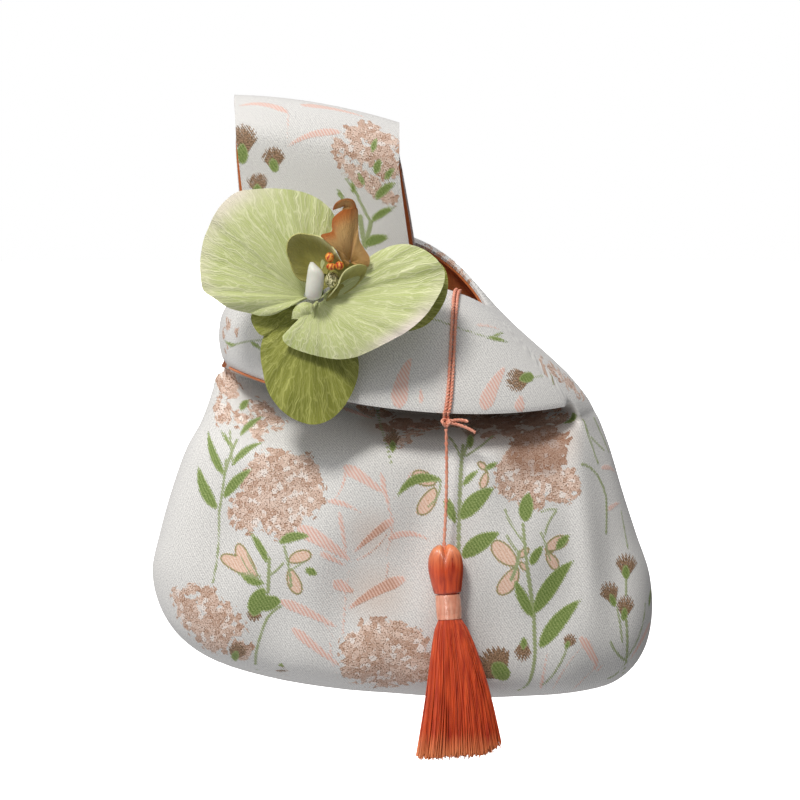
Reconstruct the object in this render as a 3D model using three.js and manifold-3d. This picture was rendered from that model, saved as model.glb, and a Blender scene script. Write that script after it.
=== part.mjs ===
// Knot-bag wristlet: a brocade pouch whose long handle is drawn up through its short handle, dressed with a
// silk orchid and a tassel. Millimetres, +Z up, +Y towards the back. The origin lies under the top of the
// long handle, where the loop hangs on a wrist.
import * as THREE from "three";
import { mergeVertices } from "three/addons/utils/BufferGeometryUtils.js";
import Module from "manifold-3d";

const wasm = await Module();
wasm.setup();

// Driving dimensions
const BROCADE = 1.2;
const LINING = 1.0;
const POUCH_WALL = 2.0;
const GAP = 0.3;
const HANDLE_TILT = -0.18;
const HANDLE_TOP = BROCADE + GAP + LINING;
const PETAL = 1.0;
const POST_RADIUS = 3.0;
const PETAL_ROOT = POST_RADIUS + GAP + 0.5;
const FLOWER_PLACE = new THREE.Vector3(0, -52, -76);
const CORD_DIAMETER = 1.7;
const LOOP_X = { top: 57, bottom: 53.4 };
const TASSEL_PLACE = new THREE.Vector3(52.6, -50.5, -180.2);
const KNOT_PLACE = new THREE.Vector3(LOOP_X.bottom, -52, -129.8);
const TASSEL_LEAN = THREE.MathUtils.degToRad(-4.2);
const WRAP_TOP = -20;
const WRAP_BOTTOM = -31;
const WRAP_RADIUS = 5.4;
const SKIRT_END = -86.5;
const SKIRT_SPREAD = { x: 14.6, y: 6.6 };
const LOCKS = 13;

// Mesh steps
const RING_POINTS = 40;
const PANEL_STEPS = 24;
const HANDLE_ACROSS = 8;
const HANDLE_ARCH_STEPS = 8;
const PETAL_ANGLES = 12;
const PETAL_STEPS = 5;

// Rows of numbers as objects with named columns.
function table(columns, rows) {
  return rows.map((row) =>
    Object.fromEntries(columns.map((column, i) => [column, row[i]])),
  );
}

// Cloth rings, from the lowest up. Each runs from its left end to its right end, stands out by front and
// back halfway between them, and is raised there by frontLift and backLift. square is 2 for an oval, more
// for a box.
const RING_COLUMNS = [
  "leftX", "leftZ", "rightX", "rightZ", "front", "back", "frontLift", "backLift", "square",
];

const POUCH_RINGS = table(RING_COLUMNS, [
  [52, -246.8, 80, -246.8, 0.1, 0.1, 0, 0, 2],
  [46, -246.4, 86, -246.4, 3.5, 3.5, 0, 0, 2],
  [30, -245, 106, -245, 9, 9, 0, 0, 2.1],
  [8, -242.4, 117.5, -242.4, 15.5, 15.5, 0, 0, 2.2],
  [-18, -238.4, 125.5, -238.4, 22, 22, 0, 0, 2.3],
  [-41, -231.6, 132, -231.6, 28.5, 28.5, 0, 0, 2.4],
  [-56, -222, 137, -222, 34, 34, 0, 0, 2.5],
  [-65.5, -209, 140.3, -209, 38.5, 38.5, 0, 0, 2.5],
  [-69.2, -194, 139.6, -194, 41.5, 41.5, 0, 0, 2.5],
  [-66.5, -178, 133, -178, 42.5, 42.5, 0, 0, 2.5],
  [-61.5, -160, 126.5, -160, 42, 42.5, 0, 0, 2.45],
  [-55.5, -143, 122, -143, 39.5, 41, -2, -2, 2.4],
  [-49, -131, 118.4, -131, 37, 38.5, -6, -6, 2.3],
  [-44.6, -119, 116, -126.5, 35.5, 36, -10, -9, 2.2],
  [-41, -113, 114.6, -124, 34.5, 34.5, -11, -10, 2.1],
  [-33.5, -110.6, 111, -123, 33.5, 33.5, -10, -9, 2],
  [-28.2, -107.4, 106.5, -121, 32.5, 32.5, -6, -5, 2],
  [-27, -97, 101, -116.5, 31.5, 32, 4, 4, 2],
]);

const SHORT_HANDLE_RINGS = table(RING_COLUMNS, [
  [-33.5, -107, 114.2, -122, 43, 40, -10.2, -9, 2],
  [-39, -103.4, 111.5, -119.2, 49.5, 45, -10.2, -7, 2.1],
  [-41.6, -96.5, 104.5, -112.2, 52, 47, -8.6, -2, 2.2],
  [-41.2, -90, 94.5, -102.6, 48.5, 45.5, -2.7, 6, 2.3],
  [-40.2, -86, 83.5, -93, 43, 42, 6, 18, 2.4],
  [-39, -83.6, 73.5, -84.2, 38.5, 39, 9.5, 32, 2.4],
  [-38, -83.4, 70.5, -82.8, 35, 34, 12, 28, 2.4],
]);

// Soft ridges (out above 0) and hollows of the pouch, each along a line on its front or back (side -1 or 1).
const POUCH_FOLDS = table(
  ["side", "topX", "topZ", "lowX", "lowZ", "width", "out"],
  [
    [-1, 22, -135, 14, -235, 26, -3.2],
    [-1, 107, -128, 120, -208, 9, 2.2],
    [-1, 92, -128, 84, -175, 16, -2],
    [1, 30, -130, 24, -230, 28, -3],
  ],
);

// Long handle from its foot to where the arch springs: both straps at one height.
const HANDLE_ROWS = table(
  ["z", "leftX", "rightX", "depth", "bow", "backSpread"],
  [
    [-82, -25.5, 43, 27, 11, 0],
    [-62, -28.5, 41, 24, 7, 2],
    [-42, -31, 38.5, 22, 4, 2.5],
    [-21, -33.5, 36, 21.5, 2.5, 0],
  ],
);
const HANDLE_FOOT = { leftX: -23, rightX: 44, aboveRim: 2.6 };
const HANDLE_CROWN = { leftX: -35, rightX: 34.5, bow: 2.5 };

// Orchid petals round the post: how far each reaches at each angle, counter-clockwise from +X, seen from
// the front. rootY and tipY are how far back its root and rim lie, and dome how far its middle stands
// forward.
const PETAL_COLUMNS = ["angle", "reach"];
const PETALS = [
  {
    name: "petal_left", rootY: -5, tipY: -5.5, dome: 3,
    rim: table(PETAL_COLUMNS, [
      [50, 27], [72, 35], [90, 41], [106, 46], [124, 50.5], [146, 52],
      [168, 50.5], [186, 43], [200, 29], [212, 17],
    ]),
  },
  {
    name: "petal_right", rootY: -5, tipY: -5.5, dome: 3,
    rim: table(PETAL_COLUMNS, [
      [-138, 18], [-128, 23.5], [-112, 25.5], [-92, 26], [-70, 29.5],
      [-48, 35], [-28, 44], [-10, 51.5], [4, 54],
      [14, 52.5], [23, 46], [32, 33],
    ]),
  },
  {
    name: "sepal_low", rootY: 0.5, tipY: -2.5, dome: 1.5,
    rim: table(PETAL_COLUMNS, [
      [-150, 21], [-136, 33], [-122, 44], [-106, 53], [-92, 56.5], [-78, 53], [-65, 42], [-53, 27],
    ]),
  },
  {
    name: "sepal_right", rootY: 0.5, tipY: 1, dome: 2,
    rim: table(PETAL_COLUMNS, [[-46, 30], [-34, 47], [-20, 53], [-6, 55], [6, 52], [18, 40]]),
  },
  {
    name: "sepal_left", rootY: 0.5, tipY: 1, dome: 2,
    rim: table(PETAL_COLUMNS, [[160, 38], [172, 46], [184, 44], [198, 38], [206, 30]]),
  },
];
const LIP_LOBES = [
  {
    rootY: -10, tipY: -18, dome: -1.5,
    rim: table(PETAL_COLUMNS, [[80, 18], [96, 23.5], [112, 26], [128, 25.5], [144, 21], [160, 14]]),
  },
  {
    rootY: -10, tipY: -17, dome: -1.5,
    rim: table(PETAL_COLUMNS, [[-12, 15], [2, 21], [15, 24], [28, 22], [40, 17]]),
  },
  {
    rootY: -10, tipY: -20, dome: 2,
    rim: table(PETAL_COLUMNS, [[38, 16], [50, 25], [60, 33], [68, 41], [75, 40], [84, 26]]),
  },
];
const COLUMN_RINGS = table(
  ["x", "z", "y", "halfWide", "halfDeep"],
  [
    [-1, -1.5, -15.5, 4.6, 3.4],
    [-1.6, 4, -19, 5, 3.6],
    [-2.6, 10, -21.5, 4, 2.8],
    [-3.4, 14.5, -22.5, 2.2, 1.5],
  ],
);

// Tassel head and neck below the cord, as rings down its axis.
const TASSEL_HEAD_RINGS = table(
  ["z", "radius"],
  [
    [0, 1.6], [-1.5, 4.4], [-5, 6.4], [-10, 6.9], [-15, 6.2],
    [-19.6, 5.3], [-20.4, 4.3], [-32, 4.4], [-36, 4.8],
  ],
);
const HEAD_FLATNESS = 0.85;

const lerp = THREE.MathUtils.lerp;

// Solid whose skin runs through closed rings of equally many points, each square of it cut along its
// shorter diagonal. Its first and last ring are capped, point i zipped to its mirror point, or joined to
// each other when it runs in a loop.
function skin(rings, joined = false) {
  const count = rings[0].length;
  const index = [];
  const points = rings.flat();
  const quad = (a, b, c, d) => {
    const shortCut = points[a].distanceTo(points[c]) < points[b].distanceTo(points[d]);
    index.push(...(shortCut ? [a, b, c, a, c, d] : [a, b, d, b, c, d]));
  };
  const spans = joined ? rings.length : rings.length - 1;
  for (let r = 0; r < spans; r++) {
    const low = r * count;
    const high = ((r + 1) % rings.length) * count;
    for (let i = 0; i < count; i++) {
      const next = (i + 1) % count;
      quad(low + i, low + next, high + next, high + i);
    }
  }
  if (!joined) {
    const top = (rings.length - 1) * count;
    for (let i = 0; i < count / 2 - 1; i++) {
      const mirror = count - 1 - i;
      quad(i, mirror, mirror - 1, i + 1);
      quad(top + i, top + i + 1, top + mirror - 1, top + mirror);
    }
  }
  const geometry = new THREE.BufferGeometry();
  const positions = points.flatMap((point) => point.toArray());
  geometry.setAttribute("position", new THREE.Float32BufferAttribute(positions, 3));
  geometry.setIndex(signedVolume(points, index) < 0 ? index.reverse() : index);
  geometry.computeVertexNormals();
  return geometry;
}

function signedVolume(points, index) {
  let volume = 0;
  const side = new THREE.Vector3();
  for (let i = 0; i < index.length; i += 3) {
    side.crossVectors(points[index[i + 1]], points[index[i + 2]]);
    volume += points[index[i]].dot(side) / 6;
  }
  return volume;
}

// One solid from several that overlap.
function fuse(geometries) {
  const solids = geometries.map((geometry) => {
    const bare = geometry.clone();
    bare.deleteAttribute("normal");
    const merged = mergeVertices(bare);
    return new wasm.Manifold(
      new wasm.Mesh({
        numProp: 3,
        vertProperties: merged.attributes.position.array,
        triVerts: new Uint32Array(merged.index.array),
      }),
    );
  });
  const whole = solids.reduce((sum, solid) => sum.add(solid)).getMesh();
  const geometry = new THREE.BufferGeometry();
  geometry.setAttribute("position", new THREE.BufferAttribute(whole.vertProperties, 3));
  geometry.setIndex(new THREE.BufferAttribute(whole.triVerts, 1));
  geometry.computeVertexNormals();
  return geometry;
}

// Sheet of cloth between two depths under a grid of points, rows first.
function sheet(grid, nearDepth, farDepth) {
  const at = (r, c) =>
    grid[THREE.MathUtils.clamp(r, 0, grid.length - 1)][THREE.MathUtils.clamp(c, 0, grid[0].length - 1)];
  const layer = (r, depth) =>
    grid[r].map((point, c) => {
      const along = at(r + 1, c).clone().sub(at(r - 1, c));
      const across = at(r, c + 1).clone().sub(at(r, c - 1));
      return point.clone().addScaledVector(across.cross(along).normalize(), depth);
    });
  return skin(grid.map((_, r) => [...layer(r, nearDepth), ...layer(r, farDepth).reverse()]));
}

// Round tube through rings at the given centres, each turned to face along the path.
function tube(centres, halfWide, halfDeep, sides, joined = false) {
  const path = new THREE.CatmullRomCurve3(centres, joined, "centripetal");
  const steps = centres.length * 2;
  const frames = path.computeFrenetFrames(steps, joined);
  const rings = [];
  for (let r = 0; r < (joined ? steps : steps + 1); r++) {
    const centre = path.getPointAt(r / steps);
    rings.push(
      ovalAngles(sides).map((angle) =>
        centre
          .clone()
          .addScaledVector(frames.normals[r], halfDeep * Math.cos(angle))
          .addScaledVector(frames.binormals[r], halfWide * Math.sin(angle)),
      ),
    );
  }
  return skin(rings, joined);
}

// Evenly spaced angles whose first and last mirror each other.
function ovalAngles(count) {
  return Array.from({ length: count }, (_, i) => ((i + 0.5) / count) * 2 * Math.PI);
}

function foldDepth(folds, x, z, side) {
  let depth = 0;
  for (const fold of folds.filter((row) => row.side === side)) {
    const run = { x: fold.lowX - fold.topX, z: fold.lowZ - fold.topZ };
    const share = ((x - fold.topX) * run.x + (z - fold.topZ) * run.z) / (run.x ** 2 + run.z ** 2);
    const along = THREE.MathUtils.clamp(share, 0, 1);
    const away = Math.hypot(x - fold.topX - along * run.x, z - fold.topZ - along * run.z);
    depth += fold.out * Math.exp(-((away / fold.width) ** 2));
  }
  return depth;
}

// Point of a cloth ring where it passes x on the front (side -1) or back (side 1), moved inwards by inset.
function ringPoint(row, x, side, inset, folds) {
  const left = row.leftX + inset;
  const right = row.rightX - inset;
  const share = THREE.MathUtils.clamp((x - left) / (right - left), 0, 1);
  const bulge = (1 - Math.abs(2 * share - 1) ** row.square) ** (1 / row.square);
  const reach = (side < 0 ? row.front : row.back) - inset;
  const lift = side < 0 ? row.frontLift : row.backLift;
  const z = lerp(row.leftZ, row.rightZ, share) + lift * bulge * bulge;
  const folded = Math.max(reach / 2, reach + foldDepth(folds, x, z, side));
  return new THREE.Vector3(x, side * bulge * folded, z);
}

// Where a cloth ring moved inwards by inset passes an angle.
function ringX(row, angle, inset) {
  const middle = (row.leftX + row.rightX) / 2;
  const half = (row.rightX - row.leftX) / 2 - inset;
  const cos = Math.cos(angle);
  return middle + half * Math.sign(cos) * Math.abs(cos) ** (2 / row.square);
}

function clothRing(row, inset) {
  return ovalAngles(RING_POINTS).map((angle) =>
    ringPoint(row, ringX(row, angle, inset), Math.sign(Math.sin(angle)), inset, []),
  );
}

// Points over the front (side -1) or back (side 1) of a pouch ring, from one side seam to the other.
function panelArc(row, side, inset) {
  return Array.from({ length: PANEL_STEPS + 1 }, (_, i) =>
    ringPoint(row, ringX(row, (i / PANEL_STEPS) * Math.PI, inset), side, inset, POUCH_FOLDS),
  );
}

// Front (side -1) or back (side 1) panel of the pouch, with half the gap between the two left along its
// seams.
function pouchPanelGeometry(side) {
  const rings = POUCH_RINGS.map((row, r) => {
    const floorRise = POUCH_WALL * Math.max(0, 1 - r / 7);
    const outer = panelArc(row, side, 0);
    const inner = panelArc(row, side, Math.min(POUCH_WALL, row.front / 2)).reverse();
    inner.forEach((point) => point.setZ(point.z + floorRise));
    return [...outer, ...inner].map((point) => point.setY(point.y + (side * GAP) / 2));
  });
  return skin(rings);
}

// Band of the short handle between two depths, which closes on itself round the long handle.
function shortHandleGeometry(nearDepth, farDepth) {
  const outer = SHORT_HANDLE_RINGS.map((row) => clothRing(row, nearDepth));
  const inner = SHORT_HANDLE_RINGS.map((row) => clothRing(row, farDepth));
  return skin([...outer, ...inner.reverse()], true);
}

// Rows of points over the long handle's outside, from its front foot over the arch to its back foot.
function longHandleGrid() {
  const shares = Array.from({ length: HANDLE_ACROSS + 1 }, (_, c) => c / HANDLE_ACROSS);
  const rim = POUCH_RINGS.at(-1);
  const foot = (side) =>
    shares.map((share) => {
      const x = lerp(HANDLE_FOOT.leftX, HANDLE_FOOT.rightX, share);
      const point = ringPoint(rim, x, side, 0, []);
      return point.setZ(point.z + HANDLE_FOOT.aboveRim);
    });
  const strap = (row, side) =>
    shares.map((share) => {
      const spread = side > 0 ? row.backSpread : 0;
      const x = lerp(row.leftX - spread, row.rightX + spread, share);
      const bow = row.bow * (2 * share - 1) ** 2;
      return new THREE.Vector3(x, side * (row.depth - bow), row.z + HANDLE_TILT * x);
    });
  const spring = HANDLE_ROWS.at(-1);
  const arch = (turn) =>
    shares.map((share) => {
      const rise = Math.sin(turn);
      const x = lerp(
        lerp(spring.leftX, HANDLE_CROWN.leftX, rise),
        lerp(spring.rightX, HANDLE_CROWN.rightX, rise),
        share,
      );
      const bow = HANDLE_CROWN.bow * (2 * share - 1) ** 2;
      const height = HANDLE_TOP - spring.z - bow;
      const y = -(spring.depth - bow) * Math.cos(turn);
      return new THREE.Vector3(x, y, spring.z + height * rise + HANDLE_TILT * x);
    });
  const archSteps = Array.from({ length: HANDLE_ARCH_STEPS - 1 }, (_, i) => i + 1);
  const archTurns = archSteps.map((step) => (step / HANDLE_ARCH_STEPS) * Math.PI);
  return [
    foot(-1),
    ...HANDLE_ROWS.map((row) => strap(row, -1)),
    ...archTurns.map(arch),
    ...HANDLE_ROWS.toReversed().map((row) => strap(row, 1)),
    foot(1),
  ];
}

// Petal or lip lobe as a grid from its root at the post to its rim.
function petalGrid({ rim, rootY, tipY, dome }) {
  const outline = new THREE.SplineCurve(rim.map((row) => new THREE.Vector2(row.angle, row.reach)));
  const spokes = outline.getPoints(PETAL_ANGLES);
  return Array.from({ length: PETAL_STEPS + 1 }, (_, step) => {
    const share = step / PETAL_STEPS;
    return spokes.map((spoke) => {
      const angle = THREE.MathUtils.degToRad(spoke.x);
      const radius = lerp(PETAL_ROOT, spoke.y, share);
      const y = lerp(rootY, tipY, share) - dome * 4 * share * (1 - share);
      return new THREE.Vector3(radius * Math.cos(angle), y, radius * Math.sin(angle));
    });
  });
}

function columnGeometry() {
  return skin(
    COLUMN_RINGS.map((row) =>
      ovalAngles(10).map(
        (angle) =>
          new THREE.Vector3(
            row.x + row.halfWide * Math.cos(angle),
            row.y + row.halfDeep * Math.sin(angle),
            row.z + (row.halfDeep / 2) * Math.sin(angle),
          ),
      ),
    ),
  );
}

// Outside of the short handle's front at one x, from its lower edge to its upper edge.
function bandProfile(x) {
  return SHORT_HANDLE_RINGS.map((row) => ringPoint(row, x, -1, 0, []));
}

function bandFront(x, z) {
  const profile = bandProfile(x);
  const above = profile.findIndex((point) => point.z > z);
  const [low, high] = [profile[above - 1], profile[above]];
  return lerp(low.y, high.y, (z - low.z) / (high.z - low.z));
}

// Post from the band to the middle of the orchid, in the orchid's frame.
function postGeometry() {
  const ring = (depthAt) =>
    ovalAngles(12).map((angle) => {
      const x = POST_RADIUS * Math.cos(angle);
      const z = POST_RADIUS * Math.sin(angle);
      return new THREE.Vector3(x, depthAt(x, z), z);
    });
  const onBand = (x, z) => bandFront(FLOWER_PLACE.x + x, FLOWER_PLACE.z + z) - 3 * GAP - FLOWER_PLACE.y;
  return skin([ring(onBand), ring(() => -9.5)]);
}

// Doubled cord that runs down the band's outside and back up inside it, square to the band's surface
// between its two edges and level across them.
function cordLoopGeometry() {
  const clear = GAP + CORD_DIAMETER;
  const behind = BROCADE + GAP + LINING + clear + CORD_DIAMETER / 2;
  const rows = SHORT_HANDLE_RINGS.length - 1;
  const onBand = (r, shift) => {
    const x = lerp(LOOP_X.bottom, LOOP_X.top, r / rows) + shift;
    return ringPoint(SHORT_HANDLE_RINGS[r], x, -1, 0, []);
  };
  const beside = (r, depth) => {
    const up = onBand(r + 1, 0).sub(onBand(r - 1, 0));
    const across = onBand(r, 1).sub(onBand(r, -1));
    return onBand(r, 0).addScaledVector(across.cross(up).normalize(), depth);
  };
  const past = (r, back, rise) => onBand(r, 0).add(new THREE.Vector3(0, back, rise));
  const between = SHORT_HANDLE_RINGS.slice(1, -1).map((_, i) => i + 1);
  const centres = [
    past(0, -clear * 0.8, -clear * 0.8),
    ...between.map((r) => beside(r, clear)),
    past(rows, -clear * 0.8, clear),
    past(rows, behind / 2, clear * 2.1),
    past(rows, behind * 1.4, clear * 1.2),
    ...between.toReversed().map((r) => beside(r, -behind)),
    past(0, behind * 1.4, -clear * 1.2),
    past(0, behind / 2, -clear * 2.1),
  ];
  return tube(centres, CORD_DIAMETER, CORD_DIAMETER / 2, 8, true);
}

// Knot below the band, with its two cut ends.
function knotGeometry(centre) {
  const ends = [
    { x: 9, y: 0.6, z: 0.5 },
    { x: 12, y: 1.2, z: -4 },
  ];
  const knot = tube(
    [-2.2, -1, 1, 2.2].map((z) => centre.clone().add(new THREE.Vector3(0, 0, z))),
    2,
    2,
    8,
  );
  const tails = ends.map((end) => {
    const tip = centre.clone().add(new THREE.Vector3(end.x, end.y, end.z));
    const middle = centre.clone().lerp(tip, 0.5).add(new THREE.Vector3(0, 0, 1.6));
    return tube([centre.clone(), middle, tip], CORD_DIAMETER / 2, CORD_DIAMETER / 2, 6);
  });
  return fuse([knot, ...tails]);
}

// Tassel in its own frame: head, neck and the skirt's locks, all one bundle of thread.
function tasselGeometry() {
  const round = (radiusX, radiusY, z, sides) =>
    ovalAngles(sides).map(
      (angle) => new THREE.Vector3(radiusX * Math.cos(angle), radiusY * Math.sin(angle), z),
    );
  const head = skin(
    TASSEL_HEAD_RINGS.map((row) => round(row.radius, row.radius * HEAD_FLATNESS, row.z, 14)),
  );
  const core = skin([
    round(3.6, 3, WRAP_BOTTOM + 1, 12),
    round(SKIRT_SPREAD.x * 0.9, SKIRT_SPREAD.y * 0.9, SKIRT_END + 3, 12),
  ]);
  const locks = ovalAngles(LOCKS).map((turn, i) => {
    const end = SKIRT_END + 1.6 * Math.sin(i * 2.4);
    return skin(
      [0, 0.35, 0.7, 1].map((share) => {
        const spread = share ** 1.15;
        const centre = new THREE.Vector3(
          lerp(2.8, SKIRT_SPREAD.x, spread) * Math.cos(turn),
          lerp(2.4, SKIRT_SPREAD.y, spread) * Math.sin(turn),
          lerp(WRAP_BOTTOM - 1, end, share),
        );
        const thick = lerp(1.5, 2.6, share);
        return round(thick, thick, 0, 6).map((point) => point.add(centre));
      }),
    );
  });
  return fuse([head, core, ...locks]);
}

function wrapGeometry() {
  const inner = WRAP_RADIUS - 0.7;
  const ring = (radius, z) =>
    ovalAngles(16).map(
      (angle) => new THREE.Vector3(radius * Math.cos(angle), radius * HEAD_FLATNESS * Math.sin(angle), z),
    );
  const top = WRAP_TOP - GAP - 0.4;
  return skin(
    [
      ring(WRAP_RADIUS - 0.3, WRAP_BOTTOM + GAP),
      ring(WRAP_RADIUS, (top + WRAP_BOTTOM) / 2),
      ring(WRAP_RADIUS - 0.3, top),
      ring(inner, top),
      ring(inner, WRAP_BOTTOM + GAP),
    ],
    true,
  );
}

function finish(color, roughness, metalness = 0) {
  return new THREE.MeshStandardMaterial({ color, roughness, metalness });
}

const FINISHES = {
  brocade: finish(0xdcdad8, 0.45),
  lining: finish(0xc9763f, 0.5),
  petal: finish(0xb9c182, 0.75),
  sepal: finish(0x8a9440, 0.75),
  lip: finish(0xb0803c, 0.6),
  column: finish(0xe4e2d4, 0.5),
  post: finish(0x6f7a3a, 0.8),
  silk: finish(0xd8643c, 0.4),
  wrap: finish(0xf0a988, 0.35),
};

function piece(parent, name, geometry, material) {
  const mesh = new THREE.Mesh(geometry, material);
  mesh.name = name;
  parent.add(mesh);
  return mesh;
}

const wristlet = new THREE.Group();
const liningNear = BROCADE + GAP;
const liningFar = liningNear + LINING;
const handle = longHandleGrid();
piece(wristlet, "pouch_front", pouchPanelGeometry(-1), FINISHES.brocade);
piece(wristlet, "pouch_back", pouchPanelGeometry(1), FINISHES.brocade);
piece(wristlet, "long_handle", sheet(handle, 0, -BROCADE), FINISHES.brocade);
piece(wristlet, "long_handle_lining", sheet(handle, -liningNear, -liningFar), FINISHES.lining);
piece(wristlet, "short_handle", shortHandleGeometry(0, BROCADE), FINISHES.brocade);
piece(wristlet, "short_handle_lining", shortHandleGeometry(liningNear, liningFar), FINISHES.lining);

const orchid = new THREE.Group();
orchid.position.copy(FLOWER_PLACE);
wristlet.add(orchid);
for (const petal of PETALS) {
  const finishOf = petal.name.startsWith("sepal") ? FINISHES.sepal : FINISHES.petal;
  piece(orchid, petal.name, sheet(petalGrid(petal), -PETAL / 2, PETAL / 2), finishOf);
}
const lobes = LIP_LOBES.map((lobe) => sheet(petalGrid(lobe), -PETAL / 2, PETAL / 2));
piece(orchid, "lip", fuse(lobes), FINISHES.lip);
piece(orchid, "column", columnGeometry(), FINISHES.column);
piece(orchid, "flower_post", postGeometry(), FINISHES.post);

const tassel = new THREE.Group();
tassel.position.copy(TASSEL_PLACE);
tassel.rotation.y = TASSEL_LEAN;
wristlet.add(tassel);
piece(tassel, "tassel", tasselGeometry(), FINISHES.silk);
piece(tassel, "tassel_wrap", wrapGeometry(), FINISHES.wrap);

piece(wristlet, "cord_loop", cordLoopGeometry(), FINISHES.silk);
piece(wristlet, "cord_knot", knotGeometry(KNOT_PLACE), FINISHES.silk);
const cordTop = KNOT_PLACE.clone().add(new THREE.Vector3(0, 0, -2.2 - GAP));
const cordEnd = TASSEL_PLACE.clone().add(new THREE.Vector3(0, 0, GAP));
const cordPath = [0, 0.25, 0.5, 0.75, 1].map((share) => {
  const sway = 1.2 * Math.sin(share * Math.PI);
  return cordTop.clone().lerp(cordEnd, share).add(new THREE.Vector3(sway, 0, 0));
});
piece(wristlet, "tassel_cord", tube(cordPath, CORD_DIAMETER / 2, CORD_DIAMETER / 2, 8), FINISHES.silk);

export default wristlet;
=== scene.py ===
import math

import bpy
import numpy as np
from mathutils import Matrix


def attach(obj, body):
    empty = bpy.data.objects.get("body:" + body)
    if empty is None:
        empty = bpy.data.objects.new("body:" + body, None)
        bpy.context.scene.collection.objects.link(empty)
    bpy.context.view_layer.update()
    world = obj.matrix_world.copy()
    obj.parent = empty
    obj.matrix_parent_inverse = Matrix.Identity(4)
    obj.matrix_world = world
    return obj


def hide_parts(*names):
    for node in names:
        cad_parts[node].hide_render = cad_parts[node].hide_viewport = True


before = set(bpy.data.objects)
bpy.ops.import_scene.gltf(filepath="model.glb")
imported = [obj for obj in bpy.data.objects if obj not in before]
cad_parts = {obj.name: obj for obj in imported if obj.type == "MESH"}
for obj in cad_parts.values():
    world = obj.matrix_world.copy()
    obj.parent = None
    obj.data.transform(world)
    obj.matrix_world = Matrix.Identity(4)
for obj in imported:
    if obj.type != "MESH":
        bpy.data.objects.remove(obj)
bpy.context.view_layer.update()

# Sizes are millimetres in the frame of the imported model, until a mesh is made
MM = 0.001
PIXEL = 0.42
PHOTO_SIDE = 800
CAMERA_AIM = np.array([34.44, 0.0, -122.22])
CAMERA_DISTANCE = 2500.0
CAMERA_RISE = math.radians(2)
CAMERA_FORWARD = np.array([0, math.cos(CAMERA_RISE), -math.sin(CAMERA_RISE)])
CAMERA_UP = np.array([0, math.sin(CAMERA_RISE), math.cos(CAMERA_RISE)])
CAMERA_PLACE = CAMERA_AIM - CAMERA_DISTANCE * CAMERA_FORWARD
SENSOR_WIDTH = 36.0
FLOOR_HEIGHT = -300.0
FLOOR_REACH = 20000.0
SUN_STRENGTH = 2.25
SUN_SPREAD = math.radians(13)
SUN_TURN = (math.radians(44), 0, math.radians(-25))
SUN_COLOUR = (1.0, 0.97, 0.93)
SKY_STRENGTH = 1.45
CRISP_ANGLE = math.radians(60)
BUMP_STRENGTH = 0.5

# Thickness of the cloths and the gap between them; a lining keeps one in so many of the brocade's columns
BROCADE = 1.2
LINING = 0.8
LINING_GAP = 0.3
LINING_STEP = 3

# Cloth rings, from the lowest up: left x and z, right x and z, front, back, front lift, back lift,
# squareness
POUCH_RINGS = [
    [46, -246.4, 86, -246.4, 13, 10, 0, 0, 2],
    [30, -245, 106, -245, 22, 18, 0, 0, 2.1],
    [4, -242.6, 120, -242.4, 29.5, 26, 0, 0, 2.2],
    [-21, -238.4, 128, -238.4, 35, 31.5, 0, 0, 2.3],
    [-43, -231.6, 134.5, -231.6, 38.8, 35.5, 0, 0, 2.4],
    [-57.5, -222, 138.8, -222, 41, 38.5, 0, 0, 2.5],
    [-66.3, -209, 140.5, -209, 42, 40.5, 0, 0, 2.5],
    [-69.6, -194, 139, -194, 42.3, 41.8, 0, 0, 2.5],
    [-66.5, -178, 133.6, -178, 42.5, 42.5, 0, 0, 2.5],
    [-61.5, -160, 127.8, -160, 42, 42.5, 0, 0, 2.45],
    [-55.5, -143, 122.8, -143, 39.5, 41, -2, -2, 2.4],
    [-49, -131, 118.4, -131, 33, 37.5, -7, -6, 2.3],
    [-44.6, -119, 116, -126.5, 22, 33, -11, -9, 2.2],
    [-43, -113, 114.6, -124, 11, 30, -11, -10, 2.1],
    [-39.5, -110, 111, -123, 4, 29, -10, -9, 2],
    [-28.2, -107.4, 106.5, -121, 4, 29, -6, -5, 2],
    [-27, -97, 101, -116.5, 28, 29, 4, 4, 2],
]
COLLAR_RINGS = [
    [-38.4, -107, 114.2, -122, 52.6, 44, -10.2, -9, 2.1],
    [-40.4, -103.4, 112, -119, 52.6, 46, -10.2, -7, 2.2],
    [-41.6, -96.5, 106, -112, 51.2, 47, -8.6, -2, 2.3],
    [-41.2, -90, 95.8, -102.4, 47.5, 45.5, -2.7, 6, 2.4],
    [-40.2, -86, 84.4, -92.6, 42.5, 42, 6, 18, 2.4],
    [-39, -83.6, 73.5, -84.2, 38.5, 39, 9.5, 32, 2.4],
    [-38, -83.4, 70.5, -82.8, 35, 35.5, 12, 30.5, 2.4],
]
# Where the pouch creases under the collar, as a place in its table; at the right end it runs into the collar
# between two places instead, within an angle from that end, and the seam is smoothed in passes
CREASE_PLACE = 14.0
WELD_PLACES = (9.5, 13.0)
WELD_ANGLE = 0.40
WELD_FADE = {"front": 0.16, "back": 0.7}
WELD_PASSES = 240
# Rows of points: their places in the pouch's table up to the fold, and in the collar's table; then how many
# go from the fold to the crease, and how many bridge it to the collar, with a rise in the middle
FOLD_PLACE = 12.0
LOW_PLACES = np.concatenate(
    [np.linspace(0, 4, 13, endpoint=False), np.linspace(4, FOLD_PLACE, 122, endpoint=False)]
)
COLLAR_PLACES = np.concatenate([np.linspace(0, 1, 10, endpoint=False), np.linspace(1, 6, 70)])
CREASE_ROWS = 24
BRIDGE_ROWS = 5
BRIDGE_RISE = 3.0
# Rows below the crease where inner walls are dense too, and rows of the collar that the weld smooths
FOLD_ROWS = 26
WELD_ROWS = 25
BACK_COLUMNS = 150
FRONT_COLUMNS = 360
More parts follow.
